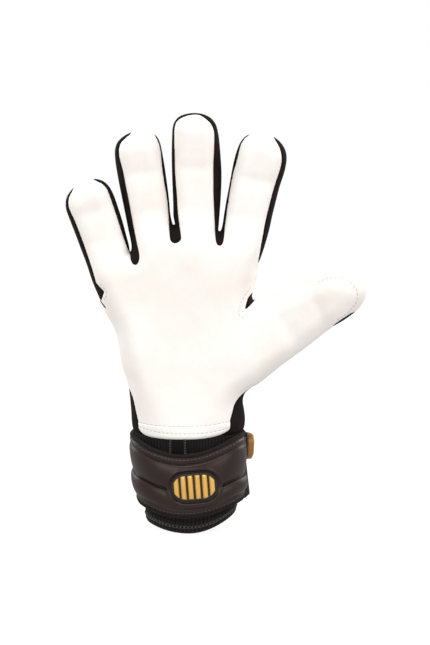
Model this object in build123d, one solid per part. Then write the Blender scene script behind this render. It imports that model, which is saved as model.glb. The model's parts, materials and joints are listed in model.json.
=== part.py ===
from build123d import *
import math
import os

# Right-hand goalkeeper glove, adult size 8 to 9, fingers up (+Z), palm facing -Y, thumb towards +X.
# The origin is on the wrist's centre line, level with the lowest point of the cuff rim.
# Millimetres. Front is the palm side (-Y); left and right are -X and +X.
os.makedirs("parts", exist_ok=True)
parts = {}

# ---- materials and hand depth -------------------------------------------------------------------
LATEX_T = 4.0            # palm latex foam
LINING_T = 2.5           # foam and textile laminated behind the palm
BACK_T = 3.0             # backhand panel
BACK_LINING_T = 1.5      # backhand lining
PUNCH_PAD_T = 2.5        # raised pad on the backhand
GUSSET_T = 1.6           # stretch fabric between the palm and the back
PALM_FRONT_Y = -19.0     # outer face of the palm
PALM_BACK_Y = 15.0       # outer face of the backhand
PALM_INNER_Y = PALM_FRONT_Y + LATEX_T
BACK_INNER_Y = PALM_BACK_Y - BACK_T


# ---- helpers ------------------------------------------------------------------------------------
def slab(points, y0, y1):
    """A panel with an outline in X and Z, from y0 to y1."""
    outline = make_face(Polyline(*[(x, y0, z) for x, z in points], close=True))
    return extrude(outline, amount=y1 - y0, dir=(0, 1, 0))


def unit(start, end):
    dx, dz = end[0] - start[0], end[1] - start[1]
    length = math.hypot(dx, dz)
    return dx / length, dz / length


def strip(path, thickness, y0, y1):
    """A fabric strip to the right of a path in X and Z, from y0 to y1."""
    side = []
    for i, (x, z) in enumerate(path):
        dx, dz = unit(path[max(i - 1, 0)], path[min(i + 1, len(path) - 1)])
        side.append((x + thickness * dz, z - thickness * dx))
    return slab(path + side[::-1], y0, y1)


def gusset(path):
    """A stretch fabric strip between the palm latex and the backhand panel."""
    return strip(path, GUSSET_T, PALM_INNER_Y, BACK_INNER_Y)


# ---- fingers and thumb --------------------------------------------------------------------------
HINGE_DEPTH = 5.0        # finger bend line, behind the latex face
FINGER_D = 24.0          # finger thickness, latex face to back face
FRONT_GAP_UP = 6.0       # finger latex starts this far above its bend line
FRONT_GAP_DOWN = 5.5     # the latex below stops this far under the bend line
BACK_GAP = 2.4           # half the gap between back panels at a bend line
TIP_R = 12.5             # corner radius of a fingertip
LATEX_TIP_R = TIP_R - 2
LATEX_TIP_INSET = 0.8    # latex stops this far short of the fingertip
TIP_NARROWING = 0.6      # lost from each half width of a finger by its tip
THUMB_TIP_HALF_WIDTHS = (13.6, 13.4)
HOLLOW_START = BACK_GAP - 5      # the gusset's hollow runs out past its open lower end
HOLLOW_OVERRUN = 1.0             # and past its front and back faces

# Depths along a segment plane's normal, from the bend line and positive towards the latex face
LATEX_DEPTHS = (HINGE_DEPTH - LATEX_T, HINGE_DEPTH)
BACK_DEPTHS = (HINGE_DEPTH - FINGER_D, HINGE_DEPTH - FINGER_D + BACK_T)
GUSSET_DEPTHS = (BACK_DEPTHS[1], LATEX_DEPTHS[0])
HOLLOW_DEPTHS = (GUSSET_DEPTHS[0] - HOLLOW_OVERRUN, GUSSET_DEPTHS[1] + HOLLOW_OVERRUN)

FINGER_BEND_Y = -8.0
THUMB_BEND_Y = -14.0
FINGER_CURL = (4.0, 8.0)
THUMB_CURL = (12.0, 10.0)

# name: base bend (x, z), middle bend (x, z), fingertip (x, z), bend line y,
#       half widths left and right, latex insets left and right,
#       degrees each segment curls towards the palm beyond the one below
FINGERS = {
    "pinky": ((-58.1, 197.6), (-63.9, 219.5), (-69.2, 240.1), FINGER_BEND_Y,
              (15.2, 14.0), (2.6, 1.8), FINGER_CURL),
    "ring": ((-27.2, 218.1), (-31.2, 245.6), (-35.0, 273.4), FINGER_BEND_Y,
             (14.0, 15.0), (3.2, 1.0), FINGER_CURL),
    "middle": ((6.0, 218.8), (5.5, 249.4), (4.9, 285.7), FINGER_BEND_Y,
               (15.0, 15.0), (1.0, 4.0), FINGER_CURL),
    "index": ((40.5, 213.3), (45.9, 241.4), (51.7, 272.2), FINGER_BEND_Y,
              (15.0, 15.2), (1.4, 3.2), FINGER_CURL),
    "thumb": ((67.0, 142.2), (89.1, 156.0), (119.3, 168.5), THUMB_BEND_Y,
              (17.0, 16.4), (0.8, 0.8), THUMB_CURL),
}


def segment_plane(origin, heading, curl):
    """Local x across the segment, local y along it, local z out of the latex face."""
    cosine, sine = math.cos(math.radians(curl)), math.sin(math.radians(curl))
    back = Vector(heading[0] * sine, cosine, heading[1] * sine)
    return Plane(origin=origin, x_dir=(heading[1], 0, -heading[0]), z_dir=-back)


def panel(plane, outline, depths):
    """An outline in the segment's plane, extruded between two depths."""
    start = plane.offset(depths[0])
    return extrude(start * outline, amount=depths[1] - depths[0], dir=plane.z_dir)


def lower_outline(left, right, bottom, top, lean):
    """A lower segment outline whose bottom edge rises by lean per millimetre to the right."""
    return make_face(Polyline(
        (left, bottom + lean * left), (right, bottom + lean * right),
        (right, top), (left, top), close=True))


def tip_outline(left, right, tip_left, tip_right, bottom, top, radius):
    """An upper segment outline, tapering to a tip with rounded corners."""
    corner = radius * (1 - math.sqrt(0.5))
    return make_face([
        Line((left, bottom), (right, bottom)),
        Line((right, bottom), (tip_right, top - radius)),
        ThreePointArc((tip_right, top - radius), (tip_right - corner, top - corner),
                      (tip_right - radius, top)),
        Line((tip_right - radius, top), (tip_left + radius, top)),
        ThreePointArc((tip_left + radius, top), (tip_left + corner, top - corner),
                      (tip_left, top - radius)),
        Line((tip_left, top - radius), (left, bottom)),
    ])


def add_lower_segment(name, plane, reach, lean, half_widths, insets):
    left, right = -half_widths[0], half_widths[1]
    back_span = (BACK_GAP, reach - BACK_GAP)
    latex = lower_outline(left + insets[0], right - insets[1],
                          FRONT_GAP_UP, reach - FRONT_GAP_DOWN, lean)
    parts[f"{name}_latex_lower"] = panel(plane, latex, LATEX_DEPTHS)
    back = lower_outline(left, right, *back_span, lean)
    parts[f"{name}_back_lower"] = panel(plane, back, BACK_DEPTHS)
    walls = []
    for wall_left, wall_right in ((left, left + GUSSET_T), (right - GUSSET_T, right)):
        wall = lower_outline(wall_left, wall_right, *back_span, lean)
        walls.append(panel(plane, wall, GUSSET_DEPTHS).solid())
    parts[f"{name}_gusset_lower"] = Compound(children=walls)


def add_upper_segment(name, plane, reach, half_widths, tip_half_widths, insets):
    left, right = -half_widths[0], half_widths[1]
    tip_left, tip_right = -tip_half_widths[0], tip_half_widths[1]
    latex = tip_outline(left + insets[0], right - insets[1],
                        tip_left + insets[0], tip_right - insets[1],
                        FRONT_GAP_UP, reach - LATEX_TIP_INSET, LATEX_TIP_R)
    parts[f"{name}_latex_upper"] = panel(plane, latex, LATEX_DEPTHS)
    outer = tip_outline(left, right, tip_left, tip_right, BACK_GAP, reach, TIP_R)
    parts[f"{name}_back_upper"] = panel(plane, outer, BACK_DEPTHS)
    hollow = tip_outline(left + GUSSET_T, right - GUSSET_T,
                         tip_left + GUSSET_T, tip_right - GUSSET_T,
                         HOLLOW_START, reach - GUSSET_T, TIP_R - GUSSET_T)
    parts[f"{name}_gusset_upper"] = (
        panel(plane, outer, GUSSET_DEPTHS) - panel(plane, hollow, HOLLOW_DEPTHS))


for name, (base, middle, tip, bend_y, half_widths, insets, curl) in FINGERS.items():
    lower_heading, upper_heading = unit(base, middle), unit(middle, tip)
    upper_curl = curl[0] + curl[1]
    # lengths along the curled segments, so that they keep their height seen from the front
    lower_reach = math.dist(base, middle) / math.cos(math.radians(curl[0]))
    upper_reach = math.dist(middle, tip) / math.cos(math.radians(upper_curl))
    base_point = Vector(base[0], bend_y, base[1])
    lower_plane = segment_plane(base_point, lower_heading, curl[0])
    middle_point = base_point + lower_plane.y_dir * lower_reach
    upper_plane = segment_plane(middle_point, upper_heading, upper_curl)
    if name == "thumb":
        lean = 0.0
        tip_half_widths = THUMB_TIP_HALF_WIDTHS
    else:
        # the cut at the base bend is level, so the lower corners differ on a splayed finger
        lean = lower_heading[0] / lower_heading[1]
        tip_half_widths = [width - TIP_NARROWING for width in half_widths]
    add_lower_segment(name, lower_plane, lower_reach, lean, half_widths, insets)
    add_upper_segment(name, upper_plane, upper_reach, half_widths, tip_half_widths, insets)

# ---- palm: outlines are (x, z) ------------------------------------------------------------------
# one cut sheet with a stub under each finger and the thumb, and a notched outer edge
PALM_OUTLINE = [
    (-33.5, 75.0), (-32.5, 71.1), (-28.0, 67.5), (-18.4, 66.2), (-2.7, 65.8), (12.2, 66.5),
    (23.8, 69.4), (28.5, 73.0), (30.0, 82.0), (32.0, 89.0), (38.5, 95.5), (50.1, 102.4),
    (58.3, 108.8), (65.7, 115.4), (72.4, 121.6), (52.9, 152.8), (47.5, 150.6), (42.6, 149.0),
    (41.6, 154.0), (43.6, 163.9), (44.8, 176.3), (46.6, 188.7), (50.4, 207.8), (25.6, 207.8),
    (22.0, 197.6), (18.4, 213.3), (-6.0, 213.3), (-7.6, 199.2), (-12.2, 212.6), (-37.2, 212.6),
    (-35.6, 186.4), (-42.4, 192.1), (-68.2, 192.1), (-65.4, 182.5), (-61.0, 170.5),
    (-55.0, 166.8), (-57.2, 158.6), (-54.6, 152.1), (-52.2, 145.2), (-48.8, 139.0),
    (-45.9, 126.5), (-43.9, 114.0), (-39.6, 101.4), (-36.8, 91.0), (-35.0, 80.0),
]
PALM_LINING_OUTLINE = [
    (-30.5, 76.0), (-27.0, 70.6), (-2.7, 68.6), (22.0, 71.8), (27.0, 83.0), (36.5, 97.5),
    (55.0, 109.0), (68.0, 122.0), (51.5, 148.2), (40.6, 146.4), (39.4, 155.0), (41.0, 163.9),
    (42.2, 176.3), (43.8, 188.7), (46.4, 205.0), (27.8, 205.0), (22.2, 193.0), (15.6, 210.5),
    (-3.6, 210.5), (-7.6, 195.0), (-14.6, 209.8), (-34.2, 209.8), (-35.0, 182.0),
    (-43.0, 188.9), (-64.6, 188.9), (-52.4, 160.0), (-50.0, 146.0), (-43.6, 126.5),
    (-41.4, 114.0), (-36.6, 100.0),
]
PALM_HEM_PATH = [
    (-33.2, 71.0), (-28.2, 66.9), (-18.4, 65.6), (-2.7, 65.2), (12.2, 65.9), (24.0, 68.8),
    (28.3, 71.6),
]
PALM_HEM_T = 1.4
PALM_HEM_LAP = 0.4       # the binding stands this far past both faces of the latex
CUT_OVERRUN = 2.0

parts["palm_latex"] = slab(PALM_OUTLINE, PALM_FRONT_Y, PALM_INNER_Y)
parts["palm_foam_lining"] = slab(PALM_LINING_OUTLINE, PALM_INNER_Y, PALM_INNER_Y + LINING_T)
palm_hem = strip(PALM_HEM_PATH, PALM_HEM_T,
                 PALM_FRONT_Y - PALM_HEM_LAP, PALM_INNER_Y + PALM_HEM_LAP)
parts["palm_hem_binding"] = palm_hem - slab(
    PALM_OUTLINE, PALM_FRONT_Y - CUT_OVERRUN, PALM_INNER_Y + CUT_OVERRUN)

# ---- backhand: outlines are (x, z) --------------------------------------------------------------
# the backhand stops just under each bend line
BACKHAND_OUTLINE = [
    (-37.4, 73.6), (38.0, 73.6), (38.2, 82.2), (36.6, 88.5), (38.8, 93.6), (43.3, 97.2),
    (50.1, 101.8), (58.3, 108.4), (65.7, 115.0), (77.5, 124.4), (57.6, 156.0), (51.2, 157.4),
    (45.4, 158.2), (44.4, 163.9), (46.8, 176.3), (48.9, 188.7), (53.0, 210.9), (24.2, 210.9),
    (22.1, 205.4), (19.6, 216.4), (-8.6, 216.4), (-9.1, 209.4), (-11.6, 215.7), (-39.4, 215.7),
    (-39.0, 191.0), (-43.2, 195.2), (-71.6, 195.2), (-67.8, 182.5), (-63.8, 170.1),
    (-58.4, 157.7), (-55.7, 151.5), (-48.9, 139.0), (-45.9, 126.5), (-43.9, 114.0),
    (-39.6, 101.4), (-38.2, 88.0),
]
BACKHAND_LINING_OUTLINE = [
    (-34.8, 76.0), (35.6, 76.0), (35.0, 95.0), (62.0, 116.0), (72.0, 126.0), (54.0, 152.0),
    (42.5, 155.5), (43.6, 176.3), (45.6, 188.7), (48.6, 208.0), (28.4, 208.0), (22.1, 198.0),
    (15.6, 213.0), (-4.6, 213.0), (-9.1, 202.0), (-15.6, 212.4), (-35.4, 212.4),
    (-36.4, 185.0), (-45.0, 190.8), (-67.6, 191.8), (-60.0, 167.0), (-52.0, 149.0),
    (-46.0, 139.0), (-42.6, 126.5), (-40.6, 114.0), (-36.4, 101.4),
]
PUNCH_PAD_OUTLINE = [
    (-34.0, 120.0), (30.0, 112.0), (38.0, 150.0), (40.0, 178.0), (28.0, 190.0),
    (-28.0, 190.0), (-52.0, 176.0), (-44.0, 146.0),
]

parts["backhand_panel"] = slab(BACKHAND_OUTLINE, BACK_INNER_Y, PALM_BACK_Y)
parts["backhand_lining"] = slab(
    BACKHAND_LINING_OUTLINE, BACK_INNER_Y - BACK_LINING_T, BACK_INNER_Y)
parts["backhand_punch_pad"] = slab(PUNCH_PAD_OUTLINE, PALM_BACK_Y, PALM_BACK_Y + PUNCH_PAD_T)

# ---- hand gussets: paths are (x, z), with the fabric on their right -----------------------------
ULNAR_PATH = [
    (-38.4, 73.6), (-39.2, 88.0), (-40.6, 101.4), (-44.9, 114.0), (-46.9, 126.5),
    (-49.9, 139.0), (-56.7, 151.5), (-59.4, 157.7), (-64.8, 170.1), (-68.8, 182.5),
    (-72.6, 195.2),
]
RADIAL_PATH = [
    (77.8, 123.6), (65.7, 113.8), (58.3, 107.2), (50.1, 100.6), (43.3, 96.0), (39.9, 92.6),
    (38.0, 88.5), (39.4, 82.2), (39.9, 73.6),
]
THUMB_WEB_PATH = [
    (53.4, 210.9), (49.9, 188.7), (47.8, 176.3), (45.4, 163.9), (45.9, 159.0),
    (51.0, 159.0), (56.4, 158.4),
]
# between pinky and ring, ring and middle, middle and index
FINGER_WEB_PATHS = [
    [(-43.2, 195.6), (-40.4, 191.4), (-38.8, 190.2), (-37.9, 192.6), (-39.4, 215.7)],
    [(-11.6, 215.7), (-9.9, 210.0), (-9.1, 208.9), (-8.5, 210.0), (-8.4, 216.4)],
    [(19.6, 216.4), (21.4, 206.0), (22.1, 204.8), (22.8, 206.0), (24.2, 210.9)],
]
# heights above which the front of a gusset is cut away
PINKY_CUT_Z, RING_MIDDLE_CUT_Z, INDEX_CUT_Z = 190.6, 211.2, 206.2
CORNER_CUT_Y, CORNER_CUT_D, CORNER_CUT_H = -14.0, 4.4, 40.0


def corner_cut(x0, x1, z0):
    """Room at the front of a gusset for the latex of a finger at full bend."""
    return Pos((x0 + x1) / 2, CORNER_CUT_Y, z0 + CORNER_CUT_H / 2) * Box(
        x1 - x0, CORNER_CUT_D, CORNER_CUT_H)


def finger_web(path):
    web = gusset(path).solid()
    web = web - corner_cut(-60, -40, PINKY_CUT_Z) - corner_cut(-41, 0, RING_MIDDLE_CUT_Z)
    return (web - corner_cut(0, 40, INDEX_CUT_Z)).solid()


parts["ulnar_side_gusset"] = gusset(ULNAR_PATH) - corner_cut(-90, -50, PINKY_CUT_Z)
parts["radial_side_gusset"] = gusset(RADIAL_PATH)
parts["finger_web_gussets"] = Compound(children=[finger_web(path) for path in FINGER_WEB_PATHS])
parts["thumb_web_gusset"] = gusset(THUMB_WEB_PATH) - corner_cut(40, 70, INDEX_CUT_Z)

# ---- wrist planes and cutting blocks ------------------------------------------------------------
WRIST_SLOPE_FRONT = 0.40   # rise of the wrist edges per millimetre of +Y, in front of the centre
WRIST_SLOPE_BACK = 0.12    # the same, behind the centre line
WRIST_TILT = 4.0           # degrees the wrist edges rise towards the thumb
TILT_Z = 40.0              # height on the centre line that the tilt turns about
FAR = 60.0                 # clear of the wrist in X and Y
SLOPED_HALF_L = 80.0       # half length in X of a sloped slice
BLOCK_Z, BLOCK_H = 50.0, 240.0


def sloped(low, high):
    """The space between two sloping wrist planes, given by their heights on the centre line."""
    up, down = FAR * WRIST_SLOPE_BACK, FAR * WRIST_SLOPE_FRONT
    points = [(-FAR, low - down), (0, low), (FAR, low + up),
              (FAR, high + up), (0, high), (-FAR, high - down)]
    outline = make_face(Polyline(*[(-SLOPED_HALF_L, y, z) for y, z in points], close=True))
    level = extrude(outline, amount=2 * SLOPED_HALF_L, dir=(1, 0, 0))
    return Pos(0, 0, TILT_Z) * Rot(0, -WRIST_TILT, 0) * Pos(0, 0, -TILT_Z) * level


def block(x0, x1, y0, y1):
    return Pos((x0 + x1) / 2, (y0 + y1) / 2, BLOCK_Z) * Box(x1 - x0, y1 - y0, BLOCK_H)


def level_slice(z0, z1):
    return Pos(0, 0, (z0 + z1) / 2) * Box(2 * FAR, 2 * FAR, z1 - z0)


# ---- cuff ---------------------------------------------------------------------------------------
# oval sections of the cuff's outer face: z, centre x, half axis in X, half axis in Y
CUFF_LEVELS = [
    (-12.0, 0.0, 27.2, 19.4),
    (12.0, 2.0, 29.2, 20.2),
    (32.0, 1.7, 31.6, 21.6),
    (72.0, 0.0, 35.6, 24.6),
]
CUFF_T = 2.0
CUFF_TOP_Z = 63.2
RIM_Z = 8.9                # cuff rim height at the sides
CUFF_HEM_H = 6.0
CUFF_HEM_OUT, CUFF_HEM_IN = 0.8, 0.6    # hem stands this far past the cuff's faces
ABOVE_CUFF = 140.0
TAPE_T = 0.8
TAPE_X = (-12.4, -0.2)
TAPE_Z = (27.0, 65.0)


def cuff_loft(inset):
    sections = [Plane.XY.offset(z) * Pos(x, 0) * Ellipse(half_x - inset, half_y - inset)
                for z, x, half_x, half_y in CUFF_LEVELS]
    return loft(sections, ruled=True)


def cuff_ring(outer_inset, inner_inset):
    return cuff_loft(outer_inset) - cuff_loft(inner_inset)


parts["cuff_bandage"] = (
    cuff_ring(0, CUFF_T) & sloped(RIM_Z + CUFF_HEM_H, ABOVE_CUFF) & level_slice(0, CUFF_TOP_Z))
parts["cuff_hem"] = (
    cuff_ring(-CUFF_HEM_OUT, CUFF_T + CUFF_HEM_IN) & sloped(RIM_Z, RIM_Z + CUFF_HEM_H))
parts["wrist_tape"] = cuff_ring(-TAPE_T, 0) & block(*TAPE_X, -FAR, 0) & level_slice(*TAPE_Z)

# ---- strap --------------------------------------------------------------------------------------
STRAP_HALF_X, STRAP_HALF_Y = 41.0, 30.0    # outer half axes of the strap at TAPER_TOP_Z
TAPER_TOP_Z = 66.0
TAPER_HALF_X, TAPER_HALF_Y = 0.10, 0.06    # shrink of the half axes per millimetre downwards
TAPER_X = 0.05             # how far the oval moves to the thumb side per millimetre downwards
RING_Z = (-10.0, 95.0)     # ends of an untrimmed strap ring
SHELL_T, FOAM_T, STRAP_LINING_T = 1.0, 2.5, 1.0
TAB_FOAM_T, HOOK_T, LOOP_T = 1.5, 1.0, 1.0
STRAP_MID_Z, STRAP_HALF_H = 45.5, 22.6
STRAP_EDGE = 2.0           # height of the sewn edge binding
PATCH_MARGIN = 5.0         # hook and loop patches stop this far from the strap's edges
SIDE_GAP = 0.4             # strap and anchor stop this far from the centre plane
TAB_X = 29.5               # where the closing tab starts on the strap
TAB_GAP = 0.6


def strap_oval(inset, z):
    drop = TAPER_TOP_Z - z
    return Plane.XY.offset(z) * Pos(TAPER_X * drop, 0) * Ellipse(
        STRAP_HALF_X - inset - TAPER_HALF_X * drop, STRAP_HALF_Y - inset - TAPER_HALF_Y * drop)


def strap_ring(inset, wall):
    """A tapered oval tube whose outer face lies inset inside the strap's outer face."""
    outer = loft([strap_oval(inset, z) for z in RING_Z], ruled=True)
    inner = loft([strap_oval(inset + wall, z) for z in RING_Z], ruled=True)
    return outer - inner


low_z, high_z = STRAP_MID_Z - STRAP_HALF_H, STRAP_MID_Z + STRAP_HALF_H
body = sloped(low_z + STRAP_EDGE, high_z - STRAP_EDGE)
edges = sloped(low_z, low_z + STRAP_EDGE) + sloped(high_z - STRAP_EDGE, high_z)
patch_band = sloped(low_z + PATCH_MARGIN, high_z - PATCH_MARGIN)

shell = strap_ring(0, SHELL_T)
foam = strap_ring(SHELL_T, FOAM_T)
lining = strap_ring(SHELL_T + FOAM_T, STRAP_LINING_T)
full_wall = strap_ring(0, SHELL_T + FOAM_T + STRAP_LINING_T)

# the anchor is the back half of the wrist, the strap most of the front half
anchor_zone = block(-FAR, FAR, SIDE_GAP, FAR)
strap_zone = block(-FAR, TAB_X, -FAR, -SIDE_GAP)
for prefix, binding, zone in (("strap_anchor", "strap_anchor_binding", anchor_zone),
                              ("strap", "strap_edge_binding", strap_zone)):
    parts[f"{prefix}_shell"] = shell & body & zone
    parts[f"{prefix}_foam"] = foam & body & zone
    parts[f"{prefix}_lining"] = lining & body & zone
    parts[binding] = full_wall & edges & zone

# the closing tab is the thumb side of the front, with hook and loop patches behind it
tab_zone = block(TAB_X + TAB_GAP, FAR, -FAR, -SIDE_GAP)
tab_t = SHELL_T + TAB_FOAM_T
parts["strap_tab_shell"] = shell & body & tab_zone
parts["strap_tab_foam"] = strap_ring(SHELL_T, TAB_FOAM_T) & body & tab_zone
parts["hook_patch"] = (
    strap_ring(tab_t, HOOK_T) & patch_band & block(TAB_X + 1.5, FAR, -FAR, -1.5))
parts["strap_tab_binding"] = strap_ring(0, tab_t) & edges & tab_zone
parts["loop_patch"] = (
    strap_ring(tab_t + HOOK_T, LOOP_T) & patch_band & block(TAB_X + 1.0, FAR, -FAR, SIDE_GAP))

# ---- badge: a moulded oval plate with a grooved face, on the front of the strap -----------------
BADGE_X, BADGE_Z, BADGE_W, BADGE_H = 4.8, 33.4, 31.0, 20.0
BADGE_LAYER_T = 1.2
BADGE_FACE_MARGIN = 1.5
GROOVE_COUNT, GROOVE_PITCH, GROOVE_W = 5, 4.6, 1.0
GROOVE_H = BADGE_H - 8.0


def badge_prism(width, height):
    tilt = math.radians(WRIST_TILT)
    plane = Plane(origin=(BADGE_X, -FAR, BADGE_Z),
                  x_dir=(math.cos(tilt), 0, math.sin(tilt)), z_dir=(0, -1, 0))
    return extrude(plane * SlotOverall(width, height), amount=50, dir=(0, 1, 0))


parts["badge_base"] = strap_ring(-BADGE_LAYER_T, BADGE_LAYER_T) & badge_prism(BADGE_W, BADGE_H)
badge_face = strap_ring(-2 * BADGE_LAYER_T, BADGE_LAYER_T) & badge_prism(
    BADGE_W - 2 * BADGE_FACE_MARGIN, BADGE_H - 2 * BADGE_FACE_MARGIN)
for i in range(GROOVE_COUNT):
    offset = (i - (GROOVE_COUNT - 1) / 2) * GROOVE_PITCH
    groove = Pos(offset, 0, 0) * Box(GROOVE_W, 40, GROOVE_H)
    badge_face = badge_face - Pos(BADGE_X, -40, BADGE_Z) * Rot(0, -WRIST_TILT, 0) * groove
parts["badge_face"] = badge_face

# ---- stud: eight-sided and moulded, on the thumb side of the anchor -----------------------------
STUD_Y, STUD_Z = 10.0, 55.4
# corners as (y, z) from the stud's centre
STUD_CORNERS = [(-9, -4.8), (-5, -9.2), (5, -9.2), (9, -4.8), (9, 4.8), (5, 9.2), (-5, 9.2), (-9, 4.8)]
STUD_FRAME_T, STUD_CORE_T = 6.0, 3.0
STUD_OPENING_SCALE, STUD_CORE_SCALE = 0.62, 0.58    # sizes relative to the frame's outline


def stud_prism(scale):
    corners = [(20, STUD_Y + y * scale, STUD_Z + z * scale) for y, z in STUD_CORNERS]
    return extrude(make_face(Polyline(*corners, close=True)), amount=40, dir=(1, 0, 0))


# the opening's cutter reaches 2 mm past both faces of the frame
stud_opening = strap_ring(-STUD_FRAME_T - 2, STUD_FRAME_T + 4) & stud_prism(STUD_OPENING_SCALE)
parts["side_stud_frame"] = (strap_ring(-STUD_FRAME_T, STUD_FRAME_T) & stud_prism(1)) - stud_opening
parts["side_stud_core"] = strap_ring(-STUD_CORE_T, STUD_CORE_T) & stud_prism(STUD_CORE_SCALE)

for name, shape in parts.items():
    export_step(shape, f"parts/{name}.step")
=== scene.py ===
"""A padded five-fingered glove with a latex foam palm, a ribbed cuff and a wrist strap.

It stands upright on its cuff: fingers towards +Z, palm towards -Y, back towards +Y,
thumb towards +X and little finger towards -X. Shapes are worked out in millimetres and
become metres when a mesh is made. The hand is shaped with straight fingers, cut into
panels, and then curled into the pose it rests in.
"""

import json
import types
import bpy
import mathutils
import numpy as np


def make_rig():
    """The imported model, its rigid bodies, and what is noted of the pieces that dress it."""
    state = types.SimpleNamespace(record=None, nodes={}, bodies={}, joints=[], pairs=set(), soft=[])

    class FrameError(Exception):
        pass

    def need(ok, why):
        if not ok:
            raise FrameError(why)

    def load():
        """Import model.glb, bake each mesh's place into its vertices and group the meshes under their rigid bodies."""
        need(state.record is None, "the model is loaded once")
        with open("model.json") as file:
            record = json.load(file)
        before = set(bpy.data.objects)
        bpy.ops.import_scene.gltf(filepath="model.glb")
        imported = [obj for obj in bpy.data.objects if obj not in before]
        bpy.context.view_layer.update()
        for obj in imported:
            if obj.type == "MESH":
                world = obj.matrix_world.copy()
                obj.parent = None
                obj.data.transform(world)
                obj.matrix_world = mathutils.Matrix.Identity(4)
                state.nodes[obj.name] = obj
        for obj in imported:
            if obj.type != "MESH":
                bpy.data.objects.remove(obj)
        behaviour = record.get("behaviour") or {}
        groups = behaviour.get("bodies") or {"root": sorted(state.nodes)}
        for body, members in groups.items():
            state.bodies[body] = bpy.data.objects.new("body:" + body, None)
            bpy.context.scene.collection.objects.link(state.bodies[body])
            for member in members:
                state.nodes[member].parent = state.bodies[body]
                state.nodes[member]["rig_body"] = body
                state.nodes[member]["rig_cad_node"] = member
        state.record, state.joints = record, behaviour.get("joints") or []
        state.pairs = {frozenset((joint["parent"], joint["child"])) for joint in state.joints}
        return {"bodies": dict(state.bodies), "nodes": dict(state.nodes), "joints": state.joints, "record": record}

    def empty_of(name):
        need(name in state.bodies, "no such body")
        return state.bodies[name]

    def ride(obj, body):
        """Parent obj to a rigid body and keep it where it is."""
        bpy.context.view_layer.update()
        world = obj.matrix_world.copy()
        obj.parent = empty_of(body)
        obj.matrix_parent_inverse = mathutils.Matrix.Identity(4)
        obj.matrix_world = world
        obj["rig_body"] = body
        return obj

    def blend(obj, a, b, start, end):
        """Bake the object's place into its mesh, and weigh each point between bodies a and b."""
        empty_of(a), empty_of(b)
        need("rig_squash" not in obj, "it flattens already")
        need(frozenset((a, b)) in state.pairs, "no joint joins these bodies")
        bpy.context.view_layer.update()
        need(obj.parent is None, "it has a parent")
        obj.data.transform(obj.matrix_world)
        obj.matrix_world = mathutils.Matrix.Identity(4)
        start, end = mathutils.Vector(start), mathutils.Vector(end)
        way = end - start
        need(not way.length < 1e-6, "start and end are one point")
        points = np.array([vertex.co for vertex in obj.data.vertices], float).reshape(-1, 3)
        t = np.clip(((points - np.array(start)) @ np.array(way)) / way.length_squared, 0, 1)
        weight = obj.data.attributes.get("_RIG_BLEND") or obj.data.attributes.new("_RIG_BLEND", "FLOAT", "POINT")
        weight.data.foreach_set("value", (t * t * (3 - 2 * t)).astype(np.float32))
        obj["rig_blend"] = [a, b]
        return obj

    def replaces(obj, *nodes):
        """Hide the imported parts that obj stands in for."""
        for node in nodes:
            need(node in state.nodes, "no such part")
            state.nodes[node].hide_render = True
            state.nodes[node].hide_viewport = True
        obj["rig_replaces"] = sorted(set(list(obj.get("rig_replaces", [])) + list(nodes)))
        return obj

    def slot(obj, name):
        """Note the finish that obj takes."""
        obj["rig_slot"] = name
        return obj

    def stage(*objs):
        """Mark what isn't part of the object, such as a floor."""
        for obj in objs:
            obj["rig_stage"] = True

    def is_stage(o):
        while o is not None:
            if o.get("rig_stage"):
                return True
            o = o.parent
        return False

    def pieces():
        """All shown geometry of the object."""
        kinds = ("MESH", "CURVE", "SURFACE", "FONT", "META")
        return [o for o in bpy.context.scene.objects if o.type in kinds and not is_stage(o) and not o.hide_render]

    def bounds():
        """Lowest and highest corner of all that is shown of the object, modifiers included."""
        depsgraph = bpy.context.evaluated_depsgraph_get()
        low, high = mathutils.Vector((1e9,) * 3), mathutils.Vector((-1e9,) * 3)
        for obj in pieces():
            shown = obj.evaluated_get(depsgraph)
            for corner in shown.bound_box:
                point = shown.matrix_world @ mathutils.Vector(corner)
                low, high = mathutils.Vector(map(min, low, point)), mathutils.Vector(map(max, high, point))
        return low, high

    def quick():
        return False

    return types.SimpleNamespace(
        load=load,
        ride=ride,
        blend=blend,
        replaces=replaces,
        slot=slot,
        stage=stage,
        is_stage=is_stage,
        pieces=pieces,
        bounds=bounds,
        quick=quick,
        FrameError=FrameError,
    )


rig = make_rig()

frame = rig.load()

import json
import math
import random

import bmesh
import bpy
import numpy as np
from mathutils import Vector

CAD_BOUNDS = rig.bounds()
JOINTS = {joint["name"]: joint for joint in frame["joints"]}
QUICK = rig.quick()
random.seed(7)
MM = 0.001


# ==========================================================================================
# Small tools
# ==========================================================================================
def ease(share):
    """Rises smoothly from 0 to 1 as share does, and is level beyond."""
    share = np.clip(share, 0.0, 1.0)
    return share * share * (3 - 2 * share)


def lerp(first, second, share):
    return first * (1 - share) + second * share


def dome(depth, width, low, high):
    """A quarter-round edge, from low at depth 0 to high at depth width."""
    share = np.clip(depth / width, 0, 1)
    return low + (high - low) * np.sqrt(np.clip(1 - (1 - share) ** 2, 0, 1))


def unit(vectors):
    vectors = np.asarray(vectors, float)
    return vectors / np.maximum(np.linalg.norm(vectors, axis=-1, keepdims=True), 1e-12)


def gradient(field, pts, step):
    moves = step * np.eye(3)
    return np.stack([(field(pts + move) - field(pts - move)) / (2 * step) for move in moves], 1)


def rotate(pts, pivot, axis, angle):
    """Rotates points about a line, each by its own angle."""
    axis = unit(axis)
    arm = pts - pivot
    cos, sin = np.cos(angle)[:, None], np.sin(angle)[:, None]
    return pivot + arm * cos + np.cross(axis, arm) * sin + axis * (arm @ axis)[:, None] * (1 - cos)


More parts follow.
